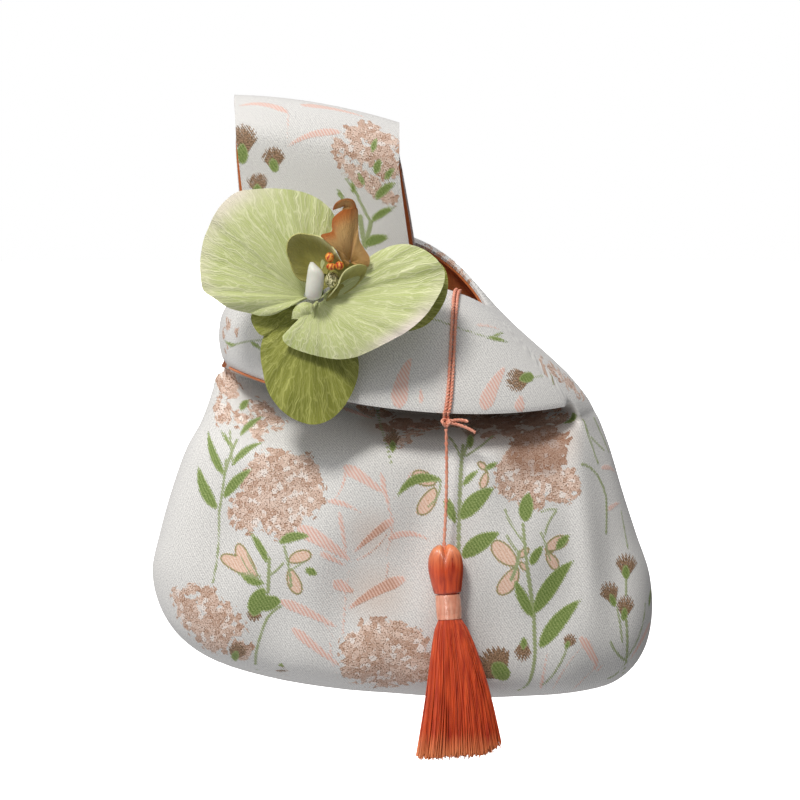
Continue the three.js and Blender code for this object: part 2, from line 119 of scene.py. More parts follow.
# Half width, half depth and power of the usual ring, round which the columns are spaced
USUAL_RING = (100.0, 42.0, 0.87)
# Pixels between which the lining shows under the collar, how far it stands out there, and its half thickness
LINING_EDGE = (226, 268)
EDGE_OUT = 0.2
EDGE_RADIUS = LINING * 0.7
# Height from which the weave is measured upwards
WAIST = -185.0
# Least turn to the front, and to the back, at which a motif is placed on the cloth
FRONT_TURN = 0.12
BACK_TURN = 0.3

# Soft ridges (out above 0) and hollows: side, top x and z, low x and z, width, out; each fades out between
# two shares of its length
FOLD_FADE = (0.5, 1.0)
FOLDS = [
    [-1, 48, -147, 26, -226, 14, -2.8],
    [-1, 2, -150, -8, -215, 13, 1.4],
    [-1, 66, -158, 82, -215, 13, 1.2],
    [-1, 108, -130, 117, -226, 6, 4.2],
    [-1, 119, -136, 127, -226, 7, -3],
    [1, 30, -130, 24, -230, 28, -3],
]
# Slack waves of the pouch's cloth: steps along x and z, phase and height; they fade out behind the tassel,
# at an x and over a width
WAVES = [
    [0.13, 0.05, 0.0, 1.0],
    [-0.07, 0.10, 0.8, 0.9],
    [0.22, -0.06, 2.1, 0.45],
]
CALM_PLACE = (53.0, 14.0)

# Long handle from its foot to where the arch springs: z, left x, right x, depth, bow, and how much wider
# its back is at each side; then left and right x of its foot and of its crown
HANDLE_ROWS = [
    [-82, -25.5, 43, 27, 11, 1],
    [-62, -28.5, 40, 24, 7, 2.5],
    [-42, -31, 37, 22, 4, 2.5],
    [-21, -33.5, 34.2, 21.5, 2.5, 1.5],
]
HANDLE_FOOT = (-23.0, 44.0)
HANDLE_FOOT_RISE = 2.6
HANDLE_CROWN = (-35.0, 34.2)
HANDLE_CROWN_BOW = 2.5
HANDLE_TOP = 2.5
HANDLE_TILT = -0.168
HANDLE_GRID = (220, 80)
HANDLE_LINING_GAP = 0.15

# Orchid, in pixels of the photograph's frame and millimetres in front of the band's face: the root of each
# petal as x, y and front, its rim as x, y, front and how pale it is there, then dome and lengthwise fold; the
# margin is the share of the way from root to rim at which a petal starts to pale
FLOWER_DEPTH = -52.0
PETAL_THICKNESS = 0.6
PETAL_MARGIN = 0.8
PETAL_SPAN = 40.0
PETAL_START = 0.05
PETAL_ROWS = 34
RIM_STEPS = 12
PETAL_FOLD_SOFT = 0.02
# Waves of a petal: height, steps along its rim, and the power with which they grow towards the rim
PETAL_WAVES = [[0.4, 0.4, 2], [0.12, 0.9, 1]]
LIP_THICKNESS = 0.5
PETALS = {
    "petal_left": (
        [309, 297, 7],
        [
            [303, 298, 8, 0], [289, 305, 9.5, 0], [276, 313, 10, 0], [262, 315.5, 9, 0], [246, 312, 8, 0],
            [228, 307, 9, 0.1], [213.5, 297.5, 10, 0.2], [203.5, 290, 8.5, 0.3], [200.5, 274, 8, 0.3],
            [200.5, 260, 7.5, 0.3], [203.5, 241, 7, 0.3], [208.5, 228, 8, 0.4], [215, 214, 9.5, 0.6],
            [224, 202, 9, 0.8], [237.5, 192, 8, 0.8], [254, 189.5, 7.5, 0.4], [273, 188.5, 8.5, 0.2],
            [292, 190, 9.5, 0], [308, 194, 9, 0], [321, 201, 8, 0], [332, 212, 8, 0], [336, 228, 8, 0],
            [332, 250, 8, 0], [324, 275, 8, 0],
        ],
        3.5, 0,
    ),
    "petal_right": (
        [318, 300, 8],
        [
            [338, 284, 8, 0], [352, 272, 8, 0], [366, 260, 8.5, 0], [384, 249, 9.5, 0], [401, 244.5, 10, 0],
            [415, 246, 10.5, 0], [427, 251.5, 11.5, 0], [438, 261, 12, 0], [444.5, 272, 11.5, 0.1],
            [443, 286, 13.5, 0.2], [436, 300, 16, 0.3], [425, 316, 18, 0.8], [409, 330, 19, 1],
            [390, 341, 18.5, 0.9], [373, 349.5, 17, 0.4], [357, 356.5, 15, 0.2], [340, 359, 13, 0.1],
            [323, 357, 11.5, 0], [307, 353, 11, 0], [293, 348, 11, 0], [285, 342.5, 10.5, 0],
            [283, 337, 10, 0], [288, 332, 9.5, 0], [298, 329, 9, 0], [307, 323, 8.5, 0], [313, 312, 8, 0],
        ],
        3, 0,
    ),
    "sepal_low": (
        [312, 312, 2],
        [
            [290, 309, 3, 0], [281, 313, 3, 0], [273, 322, 3, 0], [264, 336, 3, 0], [260.5, 352, 3, 0],
            [263, 371, 3.5, 0], [268, 391, 4, 0], [279, 407.5, 5, 0], [293, 418.5, 6, 0],
            [312, 424.5, 6.5, 0], [329, 420, 6, 0], [343, 407.5, 5, 0], [354, 388, 4, 0],
            [358.5, 371, 3.5, 0], [357, 356, 3, 0], [350, 340, 2.5, 0], [335, 322, 2.5, 0],
        ],
        1, 3.2,
    ),
    "sepal_right": (
        [330, 296, 1.5],
        [
            [385, 268, 2, 0], [410, 260, 2.5, 0], [428, 258, 3, 0], [440, 263, 3.5, 0], [446.5, 273, 4, 0],
            [448, 285, 4, 0], [446, 297, 4, 0], [441, 308, 4.5, 0], [433, 319, 4.5, 0], [422, 327, 4, 0],
            [405, 331, 3, 0], [380, 328, 2, 0],
        ],
        2, 0,
    ),
    "sepal_left": (
        [300, 305, 1.5],
        [
            [272, 304, 2, 0], [258, 308, 2.5, 0], [251.5, 315, 3, 0], [253, 325, 3.5, 0], [261, 335, 4, 0],
            [272, 333, 3.5, 0], [286, 320, 2.5, 0],
        ],
        1.5, 0,
    ),
}
PETAL_SHOULDER = (
    [311, 318, 8],
    [
        [292, 319, 9, 0], [294, 309.5, 10.5, 0], [300, 304, 11.5, 0], [307, 302.5, 11.5, 0.1],
        [313, 306, 11, 0], [316, 314, 10, 0], [312, 326, 9, 0], [303, 330, 8.5, 0], [295, 327, 8.5, 0],
    ],
    3, 0,
)
# On the lip's two green lobes the pale at the rim is a painted highlight along their curled edges
LIP_LOBES = {
    "lip_left": (
        [326, 276, 12],
        [
            [307, 282, 14, 0], [299.5, 279.5, 16, 0], [293.5, 272, 18, 0], [290, 262, 19, 0],
            [286.8, 252, 20, 0], [287.8, 242, 20.5, 0.1], [292.5, 236, 20.5, 0.2], [300, 233.5, 20, 0.1],
            [309, 234.5, 19.5, 0.2], [318, 236, 19, 0.8], [325, 240.5, 19.5, 1], [332, 246.5, 20.5, 1],
            [336, 253, 21, 0.8], [341, 262, 18, 0], [344, 271, 15, 0], [338, 282, 12.5, 0],
        ],
        -4, 0,
    ),
    "lip_right": (
        [331, 295, 11],
        [
            [328, 297.5, 13, 0.6], [333.5, 291, 17, 1], [338.5, 284, 19.5, 1], [341, 277, 20.5, 1],
            [345, 271, 21, 0.9], [352, 266.5, 20.5, 0.6], [360, 264.5, 19, 0.2], [366.5, 267, 17, 0],
            [365.5, 273, 15, 0], [360, 281, 13, 0], [353, 288, 12, 0], [344, 294, 11, 0], [335, 299, 11, 0],
        ],
        -3.5, 0,
    ),
    "lip_throat": (
        [331, 285, 10],
        [
            [316, 294, 10, 0], [315, 280, 10, 0], [320, 270, 10, 0], [331, 264, 10, 0], [344, 261, 10, 0],
            [354, 264, 10, 0], [357, 273, 10, 0], [350, 286, 10, 0], [338, 297, 10, 0], [326, 301, 10, 0],
        ],
        1, 0,
    ),
    "lip_tongue": (
        [350, 262, 13],
        [
            [347, 267, 14, 0], [341, 259, 16, 0], [337.5, 252, 17.5, 0.2], [334.5, 244, 19, 0.5],
            [321, 235.5, 21, 0.9], [331.5, 231.5, 20.5, 1], [332, 224, 21.5, 1], [334, 217, 22.5, 1],
            [342, 210.5, 23, 1], [350, 208.8, 22, 0.9], [356.8, 208, 20, 0.6], [357.8, 221, 19, 0.2],
            [358.8, 238, 18, 0], [363.5, 248, 17, 0.1], [369, 257, 16, 0.2], [368, 266, 14.5, 0.1],
            [358, 266.5, 14, 0],
        ],
        1.5, 2.2,
    ),
    "lip_tip": (
        [344, 206, 21],
        [
            [332.5, 210, 22, 1], [334.5, 204.5, 23.5, 1], [338.5, 200.8, 24.5, 0.8], [343, 199, 24.5, 0.7],
            [348, 198.3, 24, 0.7], [353.5, 200.6, 23, 0.8], [356, 208, 20.5, 1], [350, 212, 20.5, 1],
            [340, 214, 21, 1],
        ],
        1, 0,
    ),
}
LIP_MARGIN = {"lip_left": 0.82, "lip_right": 0.75, "lip_throat": 0.8, "lip_tongue": 0.62, "lip_tip": 0.3}
# Bumps between the lobes: x, y, front, half width, half height and depth
CALLUS_BUMPS = [
    [329.5, 257.5, 20, 4.6, 5.2, 2.2], [331, 266.5, 19.5, 5, 3.8, 2.2], [339.5, 265.5, 19, 4.6, 4.4, 2.2],
]
SPOTTED_BUMP = [332, 280, 15, 7, 8, 2.5]
# Column: its depth and its lean as shares of its half width, then rows from its foot to its tip as y, left x,
# right x and front
COLUMN_DEPTH = 0.8
COLUMN_LEAN = 0.2
COLUMN_ROWS = [
    [299.5, 309, 318, 16], [296.5, 305.5, 321, 18], [290, 305.3, 322.6, 19.5], [281, 306.2, 324, 20.5],
    [275, 307, 324, 21], [270, 307.7, 321.3, 21.5], [266, 308.6, 317.4, 21.5], [262.3, 310.2, 313.4, 21],
]

# Cords of two strands: the doubled loop round the collar, and the knot with its two cut ends
CORD_DIAMETER = 1.7
STRAND_RADIUS = CORD_DIAMETER * 0.27
STRAND_OFFSET = CORD_DIAMETER * 0.23
KNOT_STRAND_OFFSET = CORD_DIAMETER * 0.2
TWIST_LENGTH = 3.0
LOOP_X = (53.4, 58.6)
LOOP_SHIFT = 0.75
LOOP_FRONT_GAP = 0.95
LOOP_BACK_GAP = 1.6
LOOP_TURN = 2.2
KNOT_PLACE = np.array([53.4, -52.0, -129.8])
KNOT_HALF = (1.3, 1.1, 1.5)
KNOT_LOBES = 0.5
KNOT_TAILS = [[9.0, 0.6, 0.5], [12.0, 1.2, -4.0]]
TAIL_RISE = 1.8
CORD_SWAY = 0.6

# Tassel: head rings as z and radius, then neck and skirt
TASSEL_PLACE = np.array([52.6, -48.2, -180.2])
TASSEL_LEAN = math.radians(-4.2)
CORD_START = KNOT_PLACE - [0, 0, 2.5]
CORD_END = TASSEL_PLACE + [0, 0, 0.3]
HEAD_RINGS = [
    [0, 1.6], [-1.5, 4.4], [-5, 6.4], [-10, 6.9], [-15, 6.2], [-19.6, 5.3], [-20.4, 4.6], [-32, 4.6],
    [-36, 4.8],
]
HEAD_FLATNESS = 0.75
# The cleft for the cord is there above the second of two places down the head's table, and gone at the first
CLEFT_FADE = (3.6, 0.8)
CLEFT_WIDTH = 0.9
CLEFT_DEPTH = 2.4
CLEFT_PINCH = 0.4
HEAD_THREADS = 84
HEAD_THREAD_RADIUS = 0.36
HEAD_THREAD_PLACES = (0.25, 5.2)
WRAP_TOP = -20.4
WRAP_BOTTOM = -30.9
WRAP_TURNS = 22
WRAP_RADIUS = 4.85
WRAP_BULGE = 0.25
WRAP_INSET = 0.2
WRAP_THREAD_RADIUS = 0.3
CORD_IN_TASSEL = -33.0
# Heights beyond which the tassel's threads pale: a painted highlight over the head's top and painted light
# through the thin ends of the skirt
PALE_BELOW = TASSEL_PLACE[2] - 77
PALE_ABOVE = TASSEL_PLACE[2] - 10
CORE_PLACES = (0.3, len(HEAD_RINGS) - 1)
CORE_SCALE = np.array([0.94, 0.94, 1])
CORE_TOP = -37.0
CORE_START = np.array([3.4, 2.9])
CORE_SHARE = 0.72
SKIRT_END = -86.5
SKIRT_START = np.array([4.0, 3.4])
SKIRT_SPREAD = np.array([15.8, 5.2])
SKIRT_LOOSE = 1.4
SKIRT_FRAY = 0.7
SKIRT_FLARE = 0.66
SKIRT_SWAY = 1.1
# Inner threads hang lower; those past a place at the right, on rings of a reach, end higher by a share of
# the rest
INNER_LONGER = 1.2
SKIRT_LIFT = 0.4
LIFT_REACH = 15.0
LIFT_FROM = 8.0
SKIRT_THREADS = 1500
SKIRT_THREAD_RADIUS = 0.22

# Woven motifs, in pixels of the photograph's frame: from x, y to x, y, then bend and half width; a
# thistle's spikes have half their spread and their number instead; a bloom has x, y and radius, and so has
# each place of painted shade, where the cloth is painted browner for shade and warm bounce light
POUCH_MOTIFS = {
    "leaf": [
        [217, 509, 198, 465, 0.10, 6.5], [225, 476, 208, 429, 0.08, 5], [224, 498, 252, 469, 0.12, 5.5],
        [232, 466, 264, 442, 0.16, 3.6], [235, 449, 220, 428, 0.05, 2.4], [240, 436, 264, 416, 0.10, 3.2],
        [241, 410, 249, 400, 0.10, 3.5], [268, 563, 249, 531, -0.10, 4], [279, 543, 310, 537, 0.22, 5],
        [254, 614, 264, 588, 0.10, 9], [258, 606, 281, 601, 0.05, 8], [263, 584, 240, 574, 0.12, 4],
        [306, 570, 317, 575, 0.10, 4], [443, 481, 396, 499, -0.42, 5], [461, 519, 494, 488, 0.12, 8.5],
        [463, 557, 500, 533, 0.12, 8.5], [463, 486, 479, 470, 0.10, 3.2], [485, 469, 498, 462, 0, 3],
        [446, 498, 456, 524, 0, 5], [534, 613, 574, 560, 0.10, 8.5], [540, 648, 581, 599, 0.10, 8],
        [533, 617, 515, 579, 0.06, 6], [525, 520, 529, 493, 0.05, 7.5], [531, 565, 543, 546, 0.10, 5],
        [557, 549, 570, 535, 0.10, 4.5], [564, 423, 575, 413, 0, 4.5], [649, 606, 653, 588, 0.10, 4],
    ],
    "stem": [
        [213, 582, 219, 512, -0.04, 1.1], [219, 512, 226, 460, -0.03, 1.3], [226, 470, 237, 440, 0.03, 1.2],
        [233, 462, 230, 431, 0.04, 1.1], [257, 668, 267, 618, 0.06, 1.3], [267, 618, 281, 606, 0.10, 1.2],
        [268, 592, 269, 558, 0, 1.6], [270, 575, 283, 563, -0.10, 1], [284, 546, 291, 586, 0.05, 1.2],
        [258, 580, 241, 557, 0.10, 0.8], [260, 576, 247, 551, 0.15, 0.8], [263, 583, 239, 574, -0.20, 1.2],
        [289, 571, 305, 561, 0, 0.7], [440, 480, 428, 507, 0.30, 0.9],
        [458, 562, 461, 470, 0, 2], [461, 470, 463, 445, 0, 1.5], [461, 458, 449, 437, 0, 1],
        [464, 455, 473, 433, 0, 1.1], [466, 456, 493, 436, -0.10, 1], [375, 408, 391, 462, -0.05, 1.5],
        [516, 691, 531, 675, -0.20, 1.2], [531, 675, 535, 650, -0.05, 1.5], [535, 650, 534, 617, 0, 1.7],
        [534, 617, 528, 572, 0, 2], [528, 572, 523, 524, 0.02, 1.5], [505, 510, 525, 543, -0.12, 1],
        [507, 535, 519, 553, -0.10, 0.9], [519, 552, 511, 580, 0.10, 1.5], [541, 533, 550, 560, 0.05, 0.9],
        [541, 511, 556, 510, 0.10, 1], [556, 512, 545, 534, -0.15, 1],
        [626, 578, 626, 596, 0, 1], [623, 674, 626, 620, 0.02, 1.5], [622, 642, 617, 608, 0, 1],
        [625, 660, 645, 604, -0.15, 1], [611, 642, 624, 660, -0.15, 1.2], [620, 671, 608, 677, 0.20, 1],
        [583, 420, 598, 463, 0.06, 1.1], [582, 464, 606, 497, 0.32, 1.4],
        [606, 497, 606, 533, 0.02, 1.2], [594, 418, 609, 452, 0.05, 1.1], [591, 437, 604, 450, 0, 0.9],
        [621, 511, 628, 549, 0, 0.8], [567, 648, 543, 685, 0.08, 1],
    ],
    "blade": [
        [280, 601, 338, 628, 0.05, 6], [292, 628, 341, 667, 0, 5.5], [298, 528, 351, 561, 0.06, 8.5],
        [344, 467, 383, 493, 0.08, 7], [381, 472, 393, 521, -0.02, 2.8], [327, 501, 362, 514, 0.15, 3.2],
        [394, 519, 353, 553, -0.05, 5], [339, 511, 347, 561, 0.02, 2.8], [388, 539, 431, 542, 0.30, 3.8],
        [320, 553, 347, 566, 0, 3.4], [335, 583, 354, 592, 0, 6.5], [405, 578, 347, 610, -0.08, 7],
        [580, 637, 599, 673, 0.10, 5.5], [651, 622, 629, 661, -0.10, 4], [601, 468, 617, 474, 0.20, 3],
        [607, 510, 621, 502, 0.10, 2.8], [343, 408, 374, 419, 0, 5], [408, 424, 430, 431, 0, 5],
        [540, 690, 548, 650, 0.05, 2], [343, 640, 351, 562, 0.05, 1.6], [352, 562, 392, 522, -0.25, 1.4],
        [393, 521, 385, 560, 0.05, 1.2], [388, 562, 386, 580, 0, 1.2], [345, 470, 334, 500, 0.2, 1.6],
        [552, 690, 590, 640, 0.20, 1.4], [570, 692, 604, 664, 0.2, 1.2], [330, 640, 346, 692, -0.1, 1.4],
        [412, 470, 392, 500, 0.1, 1.2], [300, 604, 334, 640, 0.2, 1.2],
    ],
    "bud": [
        [258, 578, 238, 545, 0.10, 9], [256, 579, 222, 557, -0.10, 9], [288, 562, 309, 555, 0.10, 8],
        [290, 568, 299, 592, -0.10, 8.5], [437, 482, 415, 474, 0.10, 9], [435, 487, 420, 512, 0.10, 9.5],
        [487, 470, 479, 463, 0, 4.5], [487, 471, 482, 488, 0, 5.5], [518, 565, 495, 544, 0.10, 11],
        [517, 567, 500, 592, 0.10, 10], [519, 558, 528, 549, 0, 5], [519, 562, 528, 570, 0, 4.5],
        [545, 550, 566, 540, 0.10, 8.5], [546, 552, 557, 568, 0, 7],
    ],
    "thistle": [
        [506, 676, 482, 651, 0.85, 11], [524, 638, 522, 662, 0.50, 7], [566, 648, 573, 634, 0.60, 6],
        [626, 578, 626, 552, 0.60, 9], [615, 606, 605, 581, 0.50, 7], [624, 620, 626, 594, 0.50, 8],
        [281, 664, 283, 677, 0.80, 6], [393, 452, 392, 428, 0.50, 7], [470, 448, 471, 420, 0.45, 8],
        [234, 660, 241, 642, 0.70, 7], [257, 605, 252, 622, 0.60, 6],
    ],
    "bloom": [
        [276, 486, 36], [297, 494, 27], [258, 478, 18], [247, 512, 20], [282, 516, 22], [304, 470, 16],
        [178, 597, 11], [192, 591, 7], [208, 603, 14], [225, 617, 14], [190, 616, 18], [212, 632, 22],
        [238, 630, 9], [240, 650, 12], [386, 658, 38], [362, 650, 22], [376, 632, 17], [408, 646, 20],
        [412, 668, 20], [360, 668, 20], [228, 385, 14], [246, 376, 16], [222, 412, 13], [243, 420, 10],
        [258, 430, 12], [262, 408, 14], [276, 422, 10], [532, 466, 33], [516, 478, 22], [545, 446, 22],
        [560, 484, 19], [530, 496, 15], [572, 482, 10], [368, 411, 9], [402, 412, 15], [428, 411, 15],
        [455, 411, 15], [484, 411, 16], [508, 411, 16], [532, 410, 16], [553, 409, 12], [402, 424, 13],
        [428, 424, 13], [455, 423, 10], [484, 422, 15], [508, 422, 16], [532, 419, 14], [490, 434, 10],
        [512, 432, 12], [546, 430, 13], [528, 440, 15], [560, 440, 9], [386, 428, 10], [398, 440, 12],
        [412, 432, 10], [384, 414, 9], [556, 420, 11], [540, 423, 10],
    ],
    # Places of painted shade, where the cloth is painted browner for the shade under the band and in a hollow
    "painted_shade": [
        [540, 440, 38], [505, 425, 40], [455, 414, 34], [410, 420, 30], [386, 425, 20], [372, 536, 18],
        [376, 594, 26],
    ],
}
COLLAR_MOTIFS = {
    "leaf": [
        [486, 337, 508, 342, 0.05, 2.2], [490, 337, 504, 332, 0, 1.6], [236, 345, 224, 340, 0.1, 2],
        [250, 342, 262, 350, 0.1, 2.2],
    ],
    "stem": [
        [426, 317, 461, 329, 0.03, 0.7], [461, 329, 490, 338, 0, 0.6], [230, 347, 264, 340, 0.05, 0.8],
        [534, 377, 552, 378, 0, 0.6],
    ],
    "blade": [
        [399, 406, 411, 358, 0.12, 9.5], [484, 408, 505, 367, 0.10, 9], [519, 409, 521, 396, 0, 6.5],
        [421, 403, 421, 388, 0, 2.6], [476, 325, 500, 330, 0.10, 1.6],
    ],
    "bud": [],
    "thistle": [[533, 376, 505, 383, 0.62, 11]],
    "bloom": [
        [552, 368, 6], [560, 375, 7], [568, 382, 7], [576, 389, 7], [584, 396, 6], [541, 360, 4.5],
        [228, 324, 5], [224, 334, 4], [236, 330, 4], [226, 348, 4],
    ],
    "painted_shade": [],
}
# The collar's back, in pixels where it would be seen through the bag
COLLAR_BACK_MOTIFS = {
    "leaf": [
        [330, 352, 308, 320, 0.10, 6], [332, 338, 350, 306, -0.10, 5.5], [334, 318, 320, 292, 0.10, 4.5],
        [452, 376, 478, 352, 0.12, 6], [450, 358, 430, 334, 0.12, 5.5],
    ],
    "stem": [[329, 392, 334, 300, 0.03, 1.5], [446, 398, 456, 330, 0.06, 1.4], [334, 320, 352, 296, 0.08, 1]],
    "blade": [
        [250, 372, 276, 336, 0.12, 6], [262, 392, 296, 374, 0.10, 5], [386, 388, 404, 346, -0.08, 6],
        [398, 330, 424, 304, 0.12, 5], [500, 392, 520, 364, 0.10, 5], [268, 320, 286, 296, 0.10, 4.5],
    ],
    "bud": [[352, 344, 368, 334, 0.10, 5], [353, 348, 366, 360, 0.10, 5]],
    "thistle": [[352, 296, 362, 272, 0.55, 8], [400, 300, 396, 278, 0.60, 8]],
    "bloom": [
        [326, 284, 16], [342, 270, 14], [312, 272, 12], [334, 256, 12], [458, 318, 18], [476, 310, 13],
        [446, 306, 12], [468, 334, 10], [428, 250, 6], [440, 257, 7], [452, 266, 7], [462, 276, 6],
        [471, 287, 5],
    ],
    "painted_shade": [],
}
HANDLE_MOTIFS = {
    "leaf": [
        [371, 223, 397, 206, 0.12, 3.6], [364, 245, 390, 237, 0.10, 5], [337, 190, 345, 201, 0, 2.6],
        [375, 174, 381, 159, 0.05, 4], [375, 198, 397, 182, 0.10, 4], [355, 194, 351, 180, 0.05, 3],
        [372, 152, 377, 138, 0.05, 3], [385, 180, 395, 168, 0.1, 3], [364, 186, 358, 172, 0, 2.6],
    ],
    "stem": [
        [355, 190, 371, 221, -0.05, 1.6], [360, 216, 365, 247, -0.04, 2.4], [371, 221, 364, 245, 0.05, 2],
        [346, 180, 356, 194, 0, 1.3],
    ],
    "blade": [
        [288, 113, 239, 106, -0.30, 4.6], [300, 105, 367, 118, 0.12, 5], [341, 132, 287, 147, -0.14, 4.4],
        [288, 112, 288, 146, 0, 1],
    ],
    "bud": [],
    "thistle": [[242, 163, 244, 123, 0.50, 10], [274, 171, 273, 146, 0.70, 9], [258, 196, 257, 172, 0.65, 9]],
    "bloom": [
        [340, 146, 9], [355, 136, 12], [370, 131, 14], [386, 141, 14], [345, 164, 9], [360, 176, 12],
        [386, 166, 13], [375, 186, 11], [389, 196, 8], [366, 154, 13], [350, 150, 9], [383, 152, 10],
    ],
    "painted_shade": [],
}
# Distance from a motif's edge, in millimetres, up to which it is worked out
MOTIF_REACH = 6.0
# A motif is put at the mean of the foremost cloth near its pixel: within so many pixels, or a little past
# the nearest point, and within so many millimetres of depth
NEAR_PIXELS = 2.5
NEAR_MARGIN = 0.5
NEAR_DEPTH = 4.0
# A thistle's outer spikes are shorter and bent, and all overlap; its cup is a leaf
SPIKE_SHORTER = 0.25
SPIKE_BEND = 0.1
SPIKE_OVERLAP = 1.6
CUP_WIDTH = 0.3


# Node trees
class Value:
    """A socket of a node tree; arithmetic on it adds Math nodes."""

    def __init__(self, tree, socket):
        self.tree = tree
        self.socket = socket

    def __add__(self, other):
        return self.tree.math("ADD", self, other)

    def __sub__(self, other):
        return self.tree.math("SUBTRACT", self, other)

    def __mul__(self, other):
        return self.tree.math("MULTIPLY", self, other)

    def __truediv__(self, other):
        return self.tree.math("DIVIDE", self, other)

    def __rsub__(self, other):
        return self.tree.math("SUBTRACT", other, self)

    __radd__ = __add__
    __rmul__ = __mul__

    def sine(self):
        return self.tree.math("SINE", self)

    def size(self):
        return self.tree.math("ABSOLUTE", self)

    def larger(self, other):
        return self.tree.math("MAXIMUM", self, other)

    def clamped(self):
        return self.tree.node("ShaderNodeClamp", inputs={"Value": self})

    def part(self, axis):
        return self.tree.node("ShaderNodeSeparateXYZ", inputs={0: self}, output=axis)


class Tree:
    """Adds nodes to a shader tree or a geometry tree."""

    def __init__(self, nodes):
        self.nodes = nodes

    def node(self, kind, settings=None, inputs=None, output=0):
        made = self.nodes.nodes.new(kind)
        for name, value in (settings or {}).items():
            setattr(made, name, value)
        for name, value in (inputs or {}).items():
            self.feed(made.inputs[name], value)
        return Value(self, made.outputs[output])

    def feed(self, socket, value):
        if isinstance(value, Value):
            self.nodes.links.new(value.socket, socket)
        else:
            socket.default_value = value

    def math(self, operation, *operands):
        return self.node("ShaderNodeMath", {"operation": operation}, dict(enumerate(operands)))

    def vector(self, operation, *operands):
        return self.node("ShaderNodeVectorMath", {"operation": operation}, dict(enumerate(operands)))

    def scaled(self, vector, factor):
        return self.node("ShaderNodeVectorMath", {"operation": "SCALE"}, {0: vector, "Scale": factor})

    def mix(self, share, first, second):
        return self.node("ShaderNodeMix", {"data_type": "RGBA"}, {0: share, 6: first, 7: second}, 2)

    def attribute(self, name, output="Fac"):
        return self.node("ShaderNodeAttribute", {"attribute_name": name}, output=output)

    def place(self):
        """Object coordinates, in metres."""
        return self.node("ShaderNodeTexCoord", output="Object")

    def noise(self, place, fineness, detail=2.0):
        """Noise from 0 to 1, as fine as one number says, or three, one for each axis."""
        if not isinstance(fineness, tuple):
            fineness = (fineness,) * 3
        finer = self.vector("MULTIPLY", place, fineness)
        return self.node("ShaderNodeTexNoise", inputs={"Vector": finer, "Scale": 1.0, "Detail": detail})

    def bump(self, height, distance):
        sockets = {"Height": height, "Distance": distance, "Strength": BUMP_STRENGTH}
        return self.node("ShaderNodeBump", inputs=sockets)

    def wear(self, sockets):
        """Set or link sockets of a material's shader."""
        for name, value in sockets.items():
            self.feed(self.nodes.nodes["Principled BSDF"].inputs[name], value)


def colour(red, green, blue):
    """A colour given as it looks on a screen, 0 to 255, in the renderer's own scale."""
    return tuple((value / 255) ** 2.2 for value in (red, green, blue)) + (1.0,)


def new_finish(name, constants):
    material = bpy.data.materials.new(name)
    material.use_nodes = True
    tree = Tree(material.node_tree)
    tree.wear(constants)
    return material, tree


# Tables and grids
def smooth_rows(rows, places):
    """Rows of a table at places between its own rows, on a smooth curve through them."""
    rows = np.asarray(rows, float)
    places = np.asarray(places, float)
    low = np.clip(np.floor(places).astype(int), 0, len(rows) - 2)
    share = (places - low).reshape(places.shape + (1,) * (rows.ndim - 1))
    before = rows[np.clip(low - 1, 0, None)]
    start = rows[low]
    end = rows[low + 1]
    after = rows[np.clip(low + 2, None, len(rows) - 1)]
    slope = end - before
    curve = 2 * before - 5 * start + 4 * end - after
    swing = 3 * start - before - 3 * end + after
    return 0.5 * (2 * start + slope * share + curve * share**2 + swing * share**3)


def table_columns(rows, places):
    return np.moveaxis(smooth_rows(rows, places), -1, 0)


def smooth_step(low, high, value):
    share = np.clip((value - low) / (high - low), 0, 1)
    return share * share * (3 - 2 * share)


def blend(first, second, share):
    return first + (second - first) * share


def bent_line(start, middle, end, share):
    """Points from a start to an end on a curve that leans towards a middle."""
    return (1 - share) ** 2 * start + 2 * share * (1 - share) * middle + share**2 * end


def running_length(points, axis=0):
    """Length along lines of points, from the first point to each."""
    steps = np.linalg.norm(np.diff(points, axis=axis), axis=-1)
    return np.concatenate([np.zeros_like(steps.take([0], axis)), np.cumsum(steps, axis)], axis)


def round_turns(count):
    return np.linspace(0, 2 * math.pi, count, endpoint=False)


def points_at(x, y, z):
    return np.stack(np.broadcast_arrays(x, y, z), axis=-1)


def unit(vectors):
    return vectors / np.maximum(np.linalg.norm(vectors, axis=-1, keepdims=True), 1e-9)


def grid_normals(grid, joined=False):
    """Outward direction at each point of a grid whose rows rise and whose columns run counter-clockwise."""
    steps = unit(np.diff(grid, axis=0))
    rising = np.concatenate([steps[:1], steps[:-1] + steps[1:], steps[-1:]])
    if joined:
        going = np.roll(grid, -1, axis=1) - np.roll(grid, 1, axis=1)
    else:
        going = np.gradient(grid, axis=1)
    return unit(np.cross(going, rising))


def photo_place(points):
    """Pixel of the photograph's frame at which the camera sees each point."""
    away = points - CAMERA_PLACE
    scale = CAMERA_DISTANCE / (away @ CAMERA_FORWARD) / PIXEL
    x = PHOTO_SIDE / 2 + away[..., 0] * scale
    y = PHOTO_SIDE / 2 - (away @ CAMERA_UP) * scale
    return np.stack([x, y], axis=-1)


# Meshes
def make_piece(name, points, faces, material, layers=None):
    mesh = bpy.data.meshes.new(name)
    mesh.from_pydata((np.asarray(points) * MM).tolist(), [], faces)
    for layer, values in (layers or {}).items():
        values = np.asarray(values, np.float32)
        kind, slot = ("FLOAT", "value") if values.ndim == 1 else ("FLOAT_VECTOR", "vector")
        mesh.attributes.new(layer, kind, "POINT").data.foreach_set(slot, values.ravel())
    mesh.polygons.foreach_set("use_smooth", [True] * len(mesh.polygons))
    mesh.set_sharp_from_angle(angle=CRISP_ANGLE)
    mesh.materials.append(material)
    piece = bpy.data.objects.new(name, mesh)
    bpy.context.collection.objects.link(piece)
    return piece


